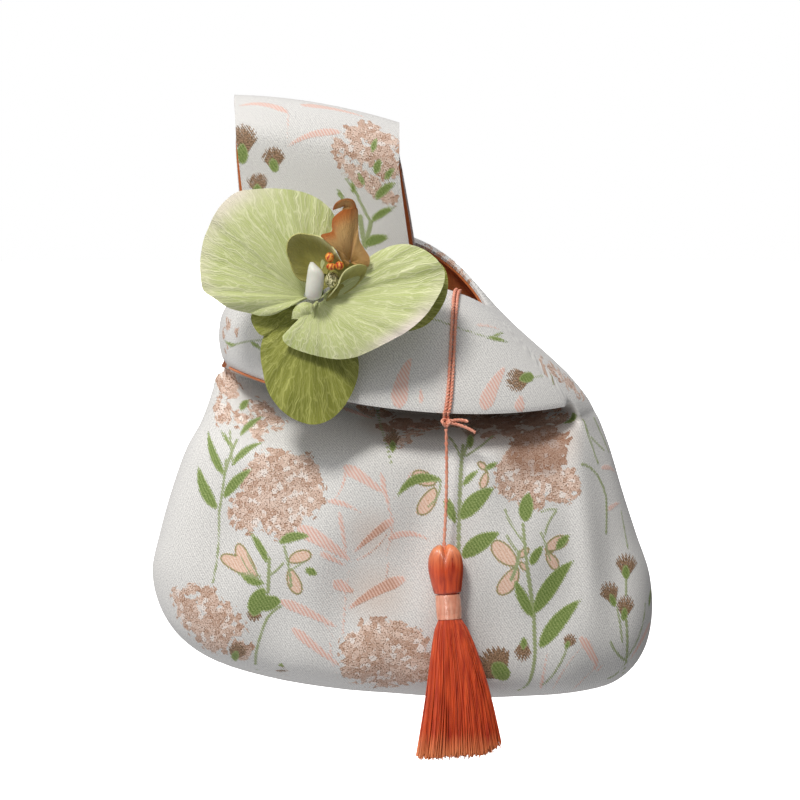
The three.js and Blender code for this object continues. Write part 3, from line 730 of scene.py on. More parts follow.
def skin(rings, ends="fan"):
    """Points and outward faces of a closed solid through rings of points, its ends capped or joined."""
    rings = np.asarray(rings, float)
    rows, count, _ = rings.shape
    points = rings.reshape(-1, 3)
    index = np.arange(rows * count).reshape(rows, count)
    turned = np.roll(index, -1, axis=1)
    quads = np.stack([index, turned, np.roll(turned, -1, axis=0), np.roll(index, -1, axis=0)], axis=-1)
    quads = (quads if ends == "join" else quads[:-1]).reshape(-1, 4)
    first, last = index[0], index[-1]
    caps = np.zeros((0, 3), int)
    if ends == "fan":
        points = np.vstack([points, rings[0].mean(axis=0), rings[-1].mean(axis=0)])
        middle = np.full(count, rows * count)
        low_cap = np.stack([middle, turned[0], first], axis=-1)
        high_cap = np.stack([middle + 1, last, turned[-1]], axis=-1)
        caps = np.vstack([low_cap, high_cap])
    if ends == "zip":
        near = np.arange(count // 2 - 1)
        far = count - 1 - near
        low_cap = np.stack([first[near], first[far], first[far - 1], first[near + 1]], axis=-1)
        high_cap = np.stack([last[near], last[near + 1], last[far - 1], last[far]], axis=-1)
        quads = np.vstack([quads, low_cap, high_cap])
    corners = (points - points.mean(axis=0))[np.vstack([quads[:, :3], quads[:, [0, 2, 3]], caps])]
    volume = np.einsum("ij,ij->", corners[:, 0], np.cross(corners[:, 1], corners[:, 2]))
    faces = quads.tolist() + caps.tolist()
    if volume < 0:
        faces = [face[::-1] for face in faces]
    return points, faces


def cloth_sheet(grid, near, far):
    """Rings of a thin sheet under a grid of points, between two depths below it."""
    normal = grid_normals(grid)
    return np.concatenate([grid - normal * near, (grid - normal * far)[:, ::-1]], axis=1)


def sheet_layers(layers):
    """Values on a grid, repeated for both sides of a thin sheet."""
    return {
        name: np.concatenate([values, values[:, ::-1]], axis=1).reshape(-1, *values.shape[2:])
        for name, values in layers.items()
    }


def thread_tree(name, plies):
    """Geometry Nodes: tubes along the lines of a mesh, each of one strand or of several twisted."""
    nodes = bpy.data.node_groups.new(name, "GeometryNodeTree")
    nodes.interface.new_socket("Lines", in_out="INPUT", socket_type="NodeSocketGeometry")
    for size in ("Strand radius", "Ply offset", "Twist length"):
        nodes.interface.new_socket(size, in_out="INPUT", socket_type="NodeSocketFloat")
    nodes.interface.new_socket("Sides", in_out="INPUT", socket_type="NodeSocketInt")
    nodes.interface.new_socket("Finish", in_out="INPUT", socket_type="NodeSocketMaterial")
    nodes.interface.new_socket("Tubes", in_out="OUTPUT", socket_type="NodeSocketGeometry")
    tree = Tree(nodes)
    entry = nodes.nodes.new("NodeGroupInput")
    given = [Value(tree, socket) for socket in entry.outputs]
    lines, radius, offset, twist, sides, finish = given[:6]
    curve = tree.node("GeometryNodeMeshToCurve", inputs={"Mesh": lines})
    profile = tree.node("GeometryNodeCurvePrimitiveCircle", inputs={"Resolution": sides, "Radius": radius})
    along = tree.node("GeometryNodeSplineParameter", output="Length")
    normal = tree.node("GeometryNodeInputNormal")
    tangent = tree.node("GeometryNodeInputTangent")
    aside = tree.vector("CROSS_PRODUCT", tangent, normal)
    join = nodes.nodes.new("GeometryNodeJoinGeometry")
    for ply in range(plies):
        turn = along * (2 * math.pi) / twist + 2 * math.pi * ply / plies
        sideways = tree.scaled(aside, turn.sine())
        outward = tree.scaled(normal, (turn + math.pi / 2).sine())
        shift = tree.scaled(tree.vector("ADD", sideways, outward), offset)
        moved = tree.node("GeometryNodeSetPosition", inputs={"Geometry": curve, "Offset": shift})
        tube = tree.node(
            "GeometryNodeCurveToMesh", inputs={"Curve": moved, "Profile Curve": profile, "Fill Caps": True}
        )
        nodes.links.new(tube.socket, join.inputs[0])
    real = tree.node("GeometryNodeRealizeInstances", inputs={0: Value(tree, join.outputs[0])})
    smooth = tree.node("GeometryNodeSetShadeSmooth", inputs={"Geometry": real})
    done = tree.node("GeometryNodeSetMaterial", inputs={"Geometry": smooth, "Material": finish})
    leave = nodes.nodes.new("NodeGroupOutput")
    nodes.links.new(done.socket, leave.inputs[0])
    return nodes


def thread_piece(name, lines, tree, material, radius, offset=0.0, twist=1.0, sides=6):
    """Plain mesh of the tubes that a thread tree lays along lines of points."""
    points = np.vstack(lines) * MM
    edges = []
    start = 0
    for line in lines:
        edges += [[start + i, start + i + 1] for i in range(len(line) - 1)]
        start += len(line)
    carrier_mesh = bpy.data.meshes.new(name + "_lines")
    carrier_mesh.from_pydata(points.tolist(), edges, [])
    carrier = bpy.data.objects.new(name + "_lines", carrier_mesh)
    bpy.context.collection.objects.link(carrier)
    modifier = carrier.modifiers.new("threads", "NODES")
    modifier.node_group = tree
    values = {
        "Strand radius": radius * MM, "Ply offset": offset * MM, "Twist length": twist * MM, "Sides": sides,
        "Finish": material,
    }
    for socket in tree.interface.items_tree:
        if socket.in_out == "INPUT" and socket.name in values:
            modifier[socket.identifier] = values[socket.name]
    depsgraph = bpy.context.evaluated_depsgraph_get()
    mesh = bpy.data.meshes.new_from_object(carrier.evaluated_get(depsgraph))
    mesh.name = name
    bpy.data.objects.remove(carrier)
    bpy.data.meshes.remove(carrier_mesh)
    piece = bpy.data.objects.new(name, mesh)
    bpy.context.collection.objects.link(piece)
    return piece


def settle(piece, slot, *nodes):
    """Put a piece on the one body, with the CAD nodes it stands for hidden; the slot is not used."""
    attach(piece, "root")
    if nodes:
        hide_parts(*nodes)


# Camera
camera_lens = bpy.data.cameras.new("camera")
camera_lens.sensor_width = SENSOR_WIDTH
camera_lens.lens = SENSOR_WIDTH * CAMERA_DISTANCE / (PIXEL * PHOTO_SIDE)
camera_lens.clip_end = 50
camera = bpy.data.objects.new("camera", camera_lens)
camera.location = CAMERA_PLACE * MM
camera.rotation_euler = (math.pi / 2 - CAMERA_RISE, 0, 0)
bpy.context.collection.objects.link(camera)
bpy.context.scene.camera = camera


# Finishes
def thread_finish(name, shade, light, roughness, painted_light_ends=False):
    """Silky thread; with painted light it pales towards its ends, above and below two heights."""
    silk = {"Specular IOR Level": 0.8, "Coat Weight": 0.5, "Coat Roughness": 0.22}
    material, tree = new_finish(name, silk)
    place = tree.place()
    streak = tree.noise(place, (900, 900, 60), 3.0)
    threads = tree.mix((streak * 1.6 - 0.3).clamped(), shade, light)
    # Painted highlight over the head's top and painted light through the skirt's thin ends
    if painted_light_ends:
        middle = (PALE_BELOW + PALE_ABOVE) / 2 * MM
        beyond = (place.part(2) - middle).size() - (PALE_ABOVE - PALE_BELOW) / 2 * MM
        ends = (beyond * 110.0 + streak - 0.5).clamped()
        threads = tree.mix(ends * 0.6, threads, colour(246, 164, 108))
    tree.wear({"Base Color": threads, "Roughness": roughness - 0.1 + streak * 0.2})
    return material


def speckled_finish(name, shade, light, fineness, roughness, constants, detail=2.0, edge=0.0, contrast=1.0):
    """Two colours that change over at an edge of a noise, which roughens the surface by up to 0.2."""
    material, tree = new_finish(name, constants)
    speck = tree.noise(tree.place(), fineness, detail)
    body = tree.mix(((speck - edge) * contrast).clamped(), shade, light)
    tree.wear({"Base Color": body, "Roughness": roughness + speck * 0.2})
    return material


def satin_finish(name, shade, light):
    material, tree = new_finish(name, {"Sheen Weight": 0.2})
    threads = tree.noise(tree.place(), (400, 400, 2200))
    tree.wear({
        "Base Color": tree.mix(threads, shade, light),
        "Roughness": 0.4 + threads * 0.15,
        "Normal": tree.bump(threads, 0.0001),
    })
    return material


def brocade_finish():
    """Twill with motifs woven in, each where its layer's distance from the motif's edge is below 0."""
    material, tree = new_finish("brocade", {"Sheen Weight": 0.2, "Sheen Roughness": 0.4})
    weave = tree.attribute("weave", "Vector")
    ragged = tree.noise(weave, 1.5) - 0.5
    patch = tree.noise(weave, 0.35) - 0.5
    speck = tree.noise(weave, 1.7, 1.0)
    thread = tree.noise(weave, (1.3, 1.9, 1.0))
    cells = {"Vector": tree.vector("ADD", weave, tree.scaled((1.5, 1.5, 0), patch)), "Scale": 0.46}
    lot = tree.node("ShaderNodeTexVoronoi", {"feature": "F1"}, cells, "Color").part(0)
    border = tree.node("ShaderNodeTexVoronoi", {"feature": "DISTANCE_TO_EDGE"}, cells, "Distance")

    def ribs(across, along, step, drift):
        lean = weave.part(0) * across + weave.part(1) * along
        return (lean * (2 * math.pi / step) + patch * drift).sine() * 0.5 + 0.5

    twill = ribs(0.84, 0.54, 0.92, 2.5)
    hatch = ribs(0.85, 0.53, 1.3, 3.0)

    def mask(layer, rag, soft=0.25):
        edge = tree.attribute(layer) + rag + (twill - 0.5) * 0.45
        return (0.5 - edge / soft).clamped()

    def rim(layer, inset, wide, sharp, rag):
        """A band along a motif's edge, on its inside."""
        return (wide - (tree.attribute(layer) + inset).size() * sharp + ragged * rag).clamped()

    ground_share = (twill * 0.38 + thread * 1.8 - 0.58).clamped()
    ground = tree.mix(ground_share, colour(174, 174, 174), colour(240, 240, 236))
    # Painted shade: under the band and in a hollow of the pouch, the ground, blades and blooms are painted
    # warmer and darker, standing in for shade and warm bounce light
    ground = tree.mix(mask("painted_shade", ragged, 14.0) * 0.45, ground, colour(190, 164, 146))
    painted_shade = mask("painted_shade", ragged, 5.0)
    blade = tree.mix(hatch, colour(216, 168, 152), colour(226, 210, 203))
    # Painted shade: blades darker and browner there
    blade = tree.mix(painted_shade * 0.75, blade, tree.mix(hatch, colour(158, 112, 88), colour(206, 164, 142)))
    bloom = tree.mix((lot * 1.5).clamped(), colour(184, 148, 126), colour(218, 192, 176))
    bloom = tree.mix(((lot - 0.80) * 12.0).clamped(), bloom, colour(234, 224, 217))
    fleck = ((0.46 - speck) * 9.0).clamped() * (1.3 - border * 2.2).clamped()
    bloom = tree.mix(fleck, bloom, colour(112, 84, 62))
    bloom = tree.mix(((speck - 0.60) * 9.0).clamped(), bloom, colour(238, 226, 216))
    # Painted shade: blooms a deep brown there
    bloom = tree.mix(painted_shade * 0.6, bloom, tree.mix(speck, colour(104, 54, 24), colour(150, 106, 72)))
    leaf = tree.mix((speck * 2.0 + hatch * 0.45 - 0.8).clamped(), colour(88, 112, 46), colour(150, 166, 98))
    leaf = tree.mix(rim("leaf", 0.3, 1.0, 3.0, 1.5) * 0.7, leaf, colour(172, 182, 132))
    bud = tree.mix(hatch, colour(218, 180, 156), colour(230, 204, 188))
    bud = tree.mix(((speck - 0.55) * 6.0).clamped(), bud, colour(190, 146, 116))
    bud = tree.mix(rim("bud", 0.4, 1.2, 2.0, 2.0), bud, colour(134, 132, 84))
    stem = tree.mix(speck, colour(110, 126, 72), colour(178, 186, 146))
    thistle = tree.mix((speck * 4.0 - 1.5).clamped(), colour(92, 74, 48), colour(168, 134, 106))

    cloth = ground
    motif = 0.0
    for shades, covered in (
        (blade, mask("blade", ragged * 1.1)),
        (bloom, mask("bloom", (lot - 0.5) * 3.4 + ragged * 1.2, 0.4)),
        (bud, mask("bud", ragged * 1.3)),
        (stem, mask("stem", ragged * 0.2 - 0.12, 0.3)),
        (thistle, mask("thistle", ragged * 0.7, 0.3)),
        (leaf, mask("leaf", ragged * 1.6)),
    ):
        cloth = tree.mix(covered, cloth, shades)
        motif = covered.larger(motif)
    tree.wear({
        "Base Color": cloth,
        "Roughness": 0.42 + motif * 0.15 + thread * 0.1,
        "Normal": tree.bump(ground_share * 0.5 + motif * (0.4 + speck), 0.0003),
    })
    return material


def petal_finish(name, shade, light, vein, pale):
    """Veined cloth; span holds the place along the rim, from root to rim, and how pale it is."""
    material, tree = new_finish(name, {"Sheen Weight": 0.15})
    span = tree.attribute("span", "Vector")
    along = span.part(0)
    share = span.part(1) / PETAL_SPAN
    wander = tree.noise(span, (0.10, 0.12, 0)) - 0.5
    meshes = {"Vector": tree.vector("MULTIPLY", span, (0.6, 0.12, 0)), "Scale": 1.0, "Randomness": 0.9}
    net = tree.node("ShaderNodeTexVoronoi", {"feature": "DISTANCE_TO_EDGE"}, meshes, "Distance")
    ribs = 1.0 - (along * 0.45 + wander * 4.0).sine().size() * 4.0
    forks = (1.0 - (along * 0.9 + wander * 7.0 + 0.8).sine().size() * 4.0) * (share * 3.0 - 0.8).clamped()
    veins = ((1.0 - net * 11.0) * 0.65).larger(ribs).larger(forks * 0.8).clamped()
    cloth = tree.noise(span, (1.8, 1.5, 0), 3.0)
    cloud = tree.noise(span, (0.07, 0.07, 0), 1.0)
    body = tree.mix((cloth * 0.9 + cloud * 1.2 - 0.55).clamped(), shade, light)
    body = tree.mix(veins * 0.8, body, vein)
    body = tree.mix((span.part(2) + wander * 0.2).clamped(), body, pale)
    tree.wear({
        "Base Color": body,
        "Roughness": 0.55 + cloth * 0.2,
        "Normal": tree.bump(veins * 0.8 + cloth * 0.5, 0.0005),
    })
    return material


coral_cord = thread_finish("coral_cord", colour(206, 112, 82), colour(240, 172, 144), 0.5)
# The tassel's threads pale at their ends with painted light
tassel_thread = thread_finish("tassel_thread", colour(150, 25, 3), colour(240, 98, 44), 0.32, True)
wrap_thread = thread_finish("wrap_thread", colour(212, 118, 84), colour(244, 186, 158), 0.25)
lining_satin = satin_finish("lining_satin", colour(178, 92, 44), colour(214, 128, 72))
brocade = brocade_finish()
petal_cloth, sepal_cloth, lip_green, lip_orange = (
    petal_finish(name, colour(*shade), colour(*light), colour(*vein), colour(*pale))
    for name, shade, light, vein, pale in (
        ("petal_cloth", (170, 182, 108), (200, 208, 146), (234, 236, 192), (238, 226, 214)),
        ("sepal_cloth", (104, 110, 30), (146, 150, 62), (184, 186, 104), (160, 160, 80)),
        # The green lobes' pale colour is a painted highlight on their curled rims
        ("lip_green", (142, 138, 58), (174, 170, 94), (160, 156, 86), (212, 212, 150)),
        ("lip_orange", (186, 142, 80), (208, 168, 108), (196, 152, 92), (172, 94, 28)),
    )
)
callus_finish, spotted_finish, post_plastic = (
    speckled_finish(name, colour(*shade), colour(*light), fineness, 0.45, {}, edge=edge, contrast=9.0)
    for name, shade, light, fineness, edge in (
        ("lip_callus", (178, 62, 34), (232, 160, 66), (1440, 900, 630), 0.42),
        ("lip_spotted", (96, 96, 48), (226, 222, 178), (2080, 1300, 910), 0.44),
        ("post_plastic", (96, 108, 44), (126, 138, 66), (800, 500, 350), 0.45),
    )
)
column_plastic = speckled_finish(
    "column_plastic", colour(200, 198, 184), colour(228, 226, 214), 300.0, 0.35,
    {"Subsurface Weight": 0.1}, detail=3.0,
)

# Cords and tassel
single_thread = thread_tree("single thread", 1)
twisted_thread = thread_tree("twisted thread", 2)


def twisted_cord(name, lines, offset=STRAND_OFFSET):
    return thread_piece(name, lines, twisted_thread, coral_cord, STRAND_RADIUS, offset, TWIST_LENGTH)


def in_tassel(points):
    """Points of the tassel's own frame, leaned and put in place."""
    points = np.asarray(points, float)
    x = points[..., 0] * math.cos(TASSEL_LEAN) + points[..., 2] * math.sin(TASSEL_LEAN)
    z = points[..., 2] * math.cos(TASSEL_LEAN) - points[..., 0] * math.sin(TASSEL_LEAN)
    return points_at(x, points[..., 1], z) + TASSEL_PLACE


def tassel_cord_path():
    """Centres of the cord from the knot to the tassel, and on inside its head and neck, where it is tied."""
    share = np.linspace(0, 1, 25)[:, None]
    sway = np.array([CORD_SWAY, 0, 0]) * np.sin(math.pi * share)
    inside = in_tassel([[0, 0, z] for z in np.linspace(0, CORD_IN_TASSEL, 18)[1:]])
    return np.concatenate([blend(CORD_START, CORD_END, share) + sway, inside])


def head_surface(turns, depths):
    """Points on the tassel's head at turns round it and places down its table, with a cleft for the cord."""
    z, radius = table_columns(HEAD_RINGS, depths)
    x = radius * np.cos(turns)
    y = radius * HEAD_FLATNESS * np.sin(turns)
    cleft = np.exp(-((x / CLEFT_WIDTH) ** 2)) * smooth_step(*CLEFT_FADE, depths)
    return points_at(x, y * (1 - CLEFT_PINCH * cleft), z - CLEFT_DEPTH * cleft)


def head_lines():
    depths = np.linspace(*HEAD_THREAD_PLACES, 22)
    return [in_tassel(head_surface(turn, depths)) for turn in round_turns(HEAD_THREADS)]


def skirt_lines():
    chance = np.random.RandomState(11)
    share = np.linspace(0, 1, 12)
    lines = []
    for _ in range(SKIRT_THREADS):
        turn = chance.uniform(0, 2 * math.pi)
        ring = math.sqrt(chance.uniform(0.25, 1.0))
        uneven = chance.normal(0, SKIRT_FRAY)
        lift = SKIRT_LIFT * max(LIFT_REACH * ring * math.cos(turn) - LIFT_FROM, 0)
        end = SKIRT_END + uneven - INNER_LONGER * (1 - ring) + lift
        curl = chance.normal(0, SKIRT_FRAY, 2)
        spread = share**SKIRT_FLARE
        sway = SKIRT_SWAY * np.sin(math.pi * share)
        wide, deep = blend(SKIRT_START[:, None], SKIRT_SPREAD[:, None] + SKIRT_LOOSE, spread)
        x = wide * ring * math.cos(turn) + curl[0] * share**2 + sway
        y = deep * ring * math.sin(turn) + curl[1] * share**2
        z = blend(WRAP_BOTTOM + 1.0, end, share)
        lines.append(in_tassel(points_at(x, y, z)))
    return lines


def wrap_line():
    turn = np.linspace(0, 1, WRAP_TURNS * 24)
    angle = 2 * math.pi * WRAP_TURNS * turn
    radius = WRAP_RADIUS + WRAP_BULGE * np.sin(math.pi * turn)
    z = blend(WRAP_TOP - WRAP_INSET, WRAP_BOTTOM + WRAP_INSET, turn)
    return in_tassel(points_at(radius * np.cos(angle), radius * HEAD_FLATNESS * np.sin(angle), z))


def tassel_core():
    """Solid inside the head, neck and skirt, so that nothing shows through between the threads."""
    turns = round_turns(40)
    rings = [head_surface(turns, place) * CORE_SCALE for place in np.linspace(*CORE_PLACES, 40)]
    for share in np.linspace(0, 0.97, 12):
        spread = share**SKIRT_FLARE
        sway = SKIRT_SWAY * math.sin(math.pi * share)
        wide, deep = blend(CORE_START, SKIRT_SPREAD * CORE_SHARE, spread)
        z = blend(CORE_TOP, SKIRT_END + 3, share)
        rings.append(points_at(wide * np.cos(turns) + sway, deep * np.sin(turns), z))
    return skin(in_tassel(np.array(rings)))


def plain_threads(name, lines, material, radius, sides=6):
    return thread_piece(name, lines, single_thread, material, radius, sides=sides)


cord_path = tassel_cord_path()
tassel_cord = twisted_cord("tassel_cord_twisted", [cord_path])
tassel_head = plain_threads("tassel_head_threads", head_lines(), tassel_thread, HEAD_THREAD_RADIUS, 5)
tassel_skirt = plain_threads("tassel_skirt_threads", skirt_lines(), tassel_thread, SKIRT_THREAD_RADIUS, 4)
tassel_inside = make_piece("tassel_core", *tassel_core(), tassel_thread)
tassel_wrap = plain_threads("tassel_wrap_thread", [wrap_line()], wrap_thread, WRAP_THREAD_RADIUS)
settle(tassel_cord, "coral_cord", "tassel_cord")
settle(tassel_skirt, "tassel_thread", "tassel")
settle(tassel_head, "tassel_thread")
settle(tassel_inside, "tassel_thread")
settle(tassel_wrap, "wrap_thread", "tassel_wrap")
cord_length = float(running_length(cord_path)[-1]) * MM


# Cloth
def column_angles(count, start, end):
    """Angles that space columns evenly round a ring of the pouch's usual form, without the last one."""
    half_width, half_depth, power = USUAL_RING
    angles = np.linspace(start, end, 20001)
    x = np.sign(np.cos(angles)) * np.abs(np.cos(angles)) ** power * half_width
    y = np.abs(np.sin(angles)) ** power * half_depth
    length = running_length(np.stack([x, y], axis=-1))
    return np.interp(np.linspace(0, length[-1], count, endpoint=False), length, angles)


def fold_depth(x, z, side):
    """How far waves and folds push the pouch's cloth out at x and z on its front, side -1, or its back."""
    calm = 1 - np.exp(-(((x - CALM_PLACE[0]) / CALM_PLACE[1]) ** 2))
    depth = np.zeros_like(x)
    for step_x, step_z, phase, height in WAVES:
        depth += calm * height * np.sin(step_x * x + step_z * z + phase)
    for fold_side, top_x, top_z, low_x, low_z, width, out in FOLDS:
        run_x, run_z = low_x - top_x, low_z - top_z
        share = np.clip(((x - top_x) * run_x + (z - top_z) * run_z) / (run_x**2 + run_z**2), 0, 1)
        away = np.hypot(x - top_x - share * run_x, z - top_z - share * run_z)
        out = out * (1 - smooth_step(*FOLD_FADE, share))
        depth += np.where(side == fold_side, out * np.exp(-((away / width) ** 2)), 0)
    return depth


def ring_points(rings, places, angles, folded):
    """Points of cloth rings at places up their table and angles round them."""
    columns = table_columns(rings, places)
    left_x, left_z, right_x, right_z, front, back, front_lift, back_lift, square = columns
    cosine, sine = np.cos(angles), np.sin(angles)
    x = (left_x + right_x) / 2 + (right_x - left_x) / 2 * np.sign(cosine) * np.abs(cosine) ** (2 / square)
    share = (x - left_x) / (right_x - left_x)
    bulge = np.abs(sine) ** (2 / square)
    z = blend(left_z, right_z, share) + np.where(sine < 0, front_lift, back_lift) * bulge**2
    reach = np.where(sine < 0, front, back)
    if folded:
        reach = reach + fold_depth(x, z, np.sign(sine))
    return points_at(x, np.sign(sine) * bulge * reach, z)


def ring_side(rings, places, x, side):
    """Points of cloth rings at places up their table, where their front, side -1, or their back passes x."""
    columns = table_columns(rings, places)
    left_x, left_z, right_x, right_z, front, back, front_lift, back_lift, square = columns
    share = np.clip((x - left_x) / (right_x - left_x), 0, 1)
    bulge = (1 - np.abs(2 * share - 1) ** square) ** (1 / square)
    reach, lift = (front, front_lift) if side < 0 else (back, back_lift)
    return points_at(x, side * bulge * reach, blend(left_z, right_z, share) + lift * bulge**2)


def bag_grid():
    """Outside of pouch and collar as one grid, the number of the pouch's rows, and the collar's first row."""
    angles = np.concatenate(
        [column_angles(BACK_COLUMNS, 0, math.pi), column_angles(FRONT_COLUMNS, math.pi, 2 * math.pi)]
    )
    from_right = np.minimum(angles, 2 * math.pi - angles)
    fade = np.where(angles > math.pi, WELD_FADE["front"], WELD_FADE["back"])
    weld = 1 - smooth_step(WELD_ANGLE, WELD_ANGLE + fade, from_right)
    crease = blend(CREASE_PLACE, WELD_PLACES[1], weld)
    low_places = np.repeat(LOW_PLACES[:, None], len(angles), axis=1)
    places = np.vstack([low_places, blend(FOLD_PLACE, crease, np.linspace(0, 1, CREASE_ROWS)[:, None])])
    collar = ring_points(COLLAR_RINGS, np.repeat(COLLAR_PLACES[:, None], len(angles), axis=1), angles, False)
    pouch = ring_points(POUCH_RINGS, places, angles, True)
    joined = weld * smooth_step(*WELD_PLACES, places)
    pouch[..., 1] = blend(pouch[..., 1], collar[0, :, 1], joined)
    turn = (pouch[-1] + collar[0]) / 2 + np.array([0, 0, BRIDGE_RISE]) * (1 - weld)[:, None]
    shares = np.linspace(0, 1, BRIDGE_ROWS + 2)[1:-1, None, None]
    bridge = bent_line(pouch[-1], turn, collar[0], shares)
    grid = np.concatenate([pouch, bridge, collar])
    seam = slice(len(LOW_PLACES), len(pouch) + len(bridge) + WELD_ROWS)
    for _ in range(WELD_PASSES):
        middle = (grid[:-2] + grid[2:]) / 2
        grid[1:-1][seam] = blend(grid[1:-1][seam], middle[seam], 0.5 * weld[:, None])
    return grid, len(pouch), len(pouch) + len(bridge)


def bag_weave(grid, pouch_rows):
    """Place of each point in the unrolled cloth: across from the middle and up from the waist."""
    x, z = grid[..., 0], grid[..., 2]
    across = np.zeros_like(x)
    front = np.arange(BACK_COLUMNS, BACK_COLUMNS + FRONT_COLUMNS + 1) % x.shape[1]
    back = np.arange(BACK_COLUMNS, -1, -1)
    for columns in (front, back):
        length = running_length(grid[:, columns, :2], axis=1)
        for row, spread in enumerate(length):
            across[row, columns] = spread - np.interp(CAMERA_AIM[0], x[row, columns], spread)
    rise = np.diff(grid[..., 1:], axis=0)
    steps = np.sign(rise[..., 1]) * np.linalg.norm(rise, axis=-1)
    along = np.concatenate([np.zeros((1, x.shape[1])), np.cumsum(steps, axis=0)])
    for column in range(x.shape[1]):
        along[:, column] -= np.interp(WAIST, z[:pouch_rows, column], along[:pouch_rows, column])
    return points_at(across, along, 0.0)


# Width of a stroke from its start, share 0, to its end
STROKE_SHAPES = {
    "leaf": lambda share: np.sin(math.pi * share**0.8) ** 0.8,
    "stem": lambda share: np.ones_like(share),
    "blade": lambda share: (1 - share) ** 0.55 * np.minimum(1, 5 * share) ** 0.5,
    "bud": lambda share: 1.9 * share**0.75 * np.maximum(1 - share, 0) ** 0.45,
    "thistle": lambda share: (0.35 + share) * np.maximum(1 - share, 0) ** 0.5,
}


def thistle_spikes(from_x, from_y, to_x, to_y, spread, count):
    """Strokes that fan out from a thistle's foot."""
    length = math.hypot(to_x - from_x, to_y - from_y)
    heading = math.atan2(to_y - from_y, to_x - from_x)
    half_width = SPIKE_OVERLAP * length * spread / count
    strokes = []
    for turn in np.linspace(-1, 1, count):
        reach = length * (1 - SPIKE_SHORTER * turn**2)
        tip_x = from_x + reach * math.cos(heading + spread * turn)
        tip_y = from_y + reach * math.sin(heading + spread * turn)
        strokes.append([from_x, from_y, tip_x, tip_y, SPIKE_BEND * turn, half_width])
    return strokes


def woven_motifs(grid, weave, motifs, facing, side=-1):
    """Distance of each point of a cloth from the edge of the motifs woven into it, by layer."""
    seen = photo_place(grid)[facing]
    depth = -side * grid[..., 1][facing]
    places = weave[..., :2][facing]

    def cloth_place(x, y):
        """Place in the cloth of what is seen foremost at a pixel."""
        away = np.hypot(seen[:, 0] - x, seen[:, 1] - y)
        near = away < max(NEAR_PIXELS, away.min() + NEAR_MARGIN)
        front = near & (depth < depth[near].min() + NEAR_DEPTH)
        return np.average(places[front], axis=0, weights=1 / (away[front] ** 2 + 0.1))

    flat = weave[..., :2].reshape(-1, 2)
    strokes = {kind: motifs[kind] for kind in STROKE_SHAPES if kind != "thistle"}
    strokes["thistle"] = [spike for head in motifs["thistle"] for spike in thistle_spikes(*head)]
    cups = [
        [x, y, (x + tip_x) / 2, (y + tip_y) / 2, 0, CUP_WIDTH * spread * math.hypot(tip_x - x, tip_y - y)]
        for x, y, tip_x, tip_y, spread, _ in motifs["thistle"]
    ]
    strokes["leaf"] = motifs["leaf"] + cups
    layers = {layer: np.full(len(flat), MOTIF_REACH) for layer in (*STROKE_SHAPES, "bloom", "painted_shade")}
    share = np.linspace(0, 1, 25)[:, None]
    for kind, shape in STROKE_SHAPES.items():
        layer = layers[kind]
        for from_x, from_y, to_x, to_y, bend, half_width in strokes[kind]:
            start, end = cloth_place(from_x, from_y), cloth_place(to_x, to_y)
            run = end - start
            middle = (start + end) / 2 + bend * np.array([-run[1], run[0]])
            line = bent_line(start, middle, end, share)
            half = half_width * PIXEL * shape(share[:, 0])
            reach = half.max() + MOTIF_REACH
            close = ((flat > line.min(axis=0) - reach) & (flat < line.max(axis=0) + reach)).all(axis=1)
            away = np.linalg.norm(flat[close][:, None] - line[None], axis=-1) - half
            layer[close] = np.minimum(layer[close], away.min(axis=1))
    # Round blooms, and round places of painted shade
    for kind in ("bloom", "painted_shade"):
        for x, y, radius in motifs[kind]:
            away = np.linalg.norm(flat - cloth_place(x, y), axis=1) - radius * PIXEL
            layers[kind] = np.minimum(layers[kind], away)
    return {name: values.reshape(weave.shape[:2]) for name, values in layers.items()}


def shell_layers(layers, inner_rows, capped):
    """Values on a grid, carried to the inner rows of its shell and to the middles of its caps."""
    values = {}
    for name, layer in layers.items():
        both = np.concatenate([layer, layer[inner_rows]]).reshape(-1, *layer.shape[2:])
        ends = np.stack([layer[0].mean(axis=0), layer[inner_rows[-1]].mean(axis=0)])
        values[name] = np.concatenate([both, ends]) if capped else both
    return values


def bag_pieces():
    """Brocade of pouch and collar, then their lining."""
    grid, pouch_rows, collar_row = bag_grid()
    normal = grid_normals(grid, True)
    weave = bag_weave(grid, pouch_rows)
    collar_weave = weave[collar_row:].copy()
    collar_weave[..., 1] += grid[collar_row, :, 2] - weave[collar_row, :, 1]
    facing = normal[..., 1] < -FRONT_TURN
    facing[:, :BACK_COLUMNS] = False
    parts = {
        "pouch_brocade": (
            slice(0, collar_row + 1), weave[:collar_row + 1], POUCH_MOTIFS, ("pouch_front", "pouch_back")
        ),
        "collar_brocade": (slice(collar_row, len(grid)), collar_weave, COLLAR_MOTIFS, ("short_handle",)),
    }
    for name, (rows, cloth, motifs, nodes) in parts.items():
        capped = name == "pouch_brocade"
        outside = grid[rows]
        layers = woven_motifs(outside, cloth, motifs, facing[rows])
        if not capped:
            behind = woven_motifs(outside, cloth, COLLAR_BACK_MOTIFS, normal[rows][..., 1] > BACK_TURN, 1)
            for layer in layers:
                layers[layer][:, :BACK_COLUMNS] = behind[layer][:, :BACK_COLUMNS]
        layers["weave"] = cloth
        inner_rows = np.arange(len(outside) - 1, -1, -8)
        if capped:
            fold_rows = np.arange(len(outside) - 1, pouch_rows - FOLD_ROWS, -2)
            low_rows = np.linspace(pouch_rows - FOLD_ROWS - 2, 3, 8).astype(int)
            inner_rows = np.concatenate([fold_rows, low_rows])
        rings = np.concatenate([outside, (outside - normal[rows] * BROCADE)[inner_rows]])
        points, faces = skin(rings, "fan" if capped else "join")
        piece = make_piece(name, points, faces, brocade, shell_layers(layers, inner_rows, capped))
        settle(piece, "brocade", *nodes)
    bag_lining(grid, normal, facing[collar_row], pouch_rows, collar_row)


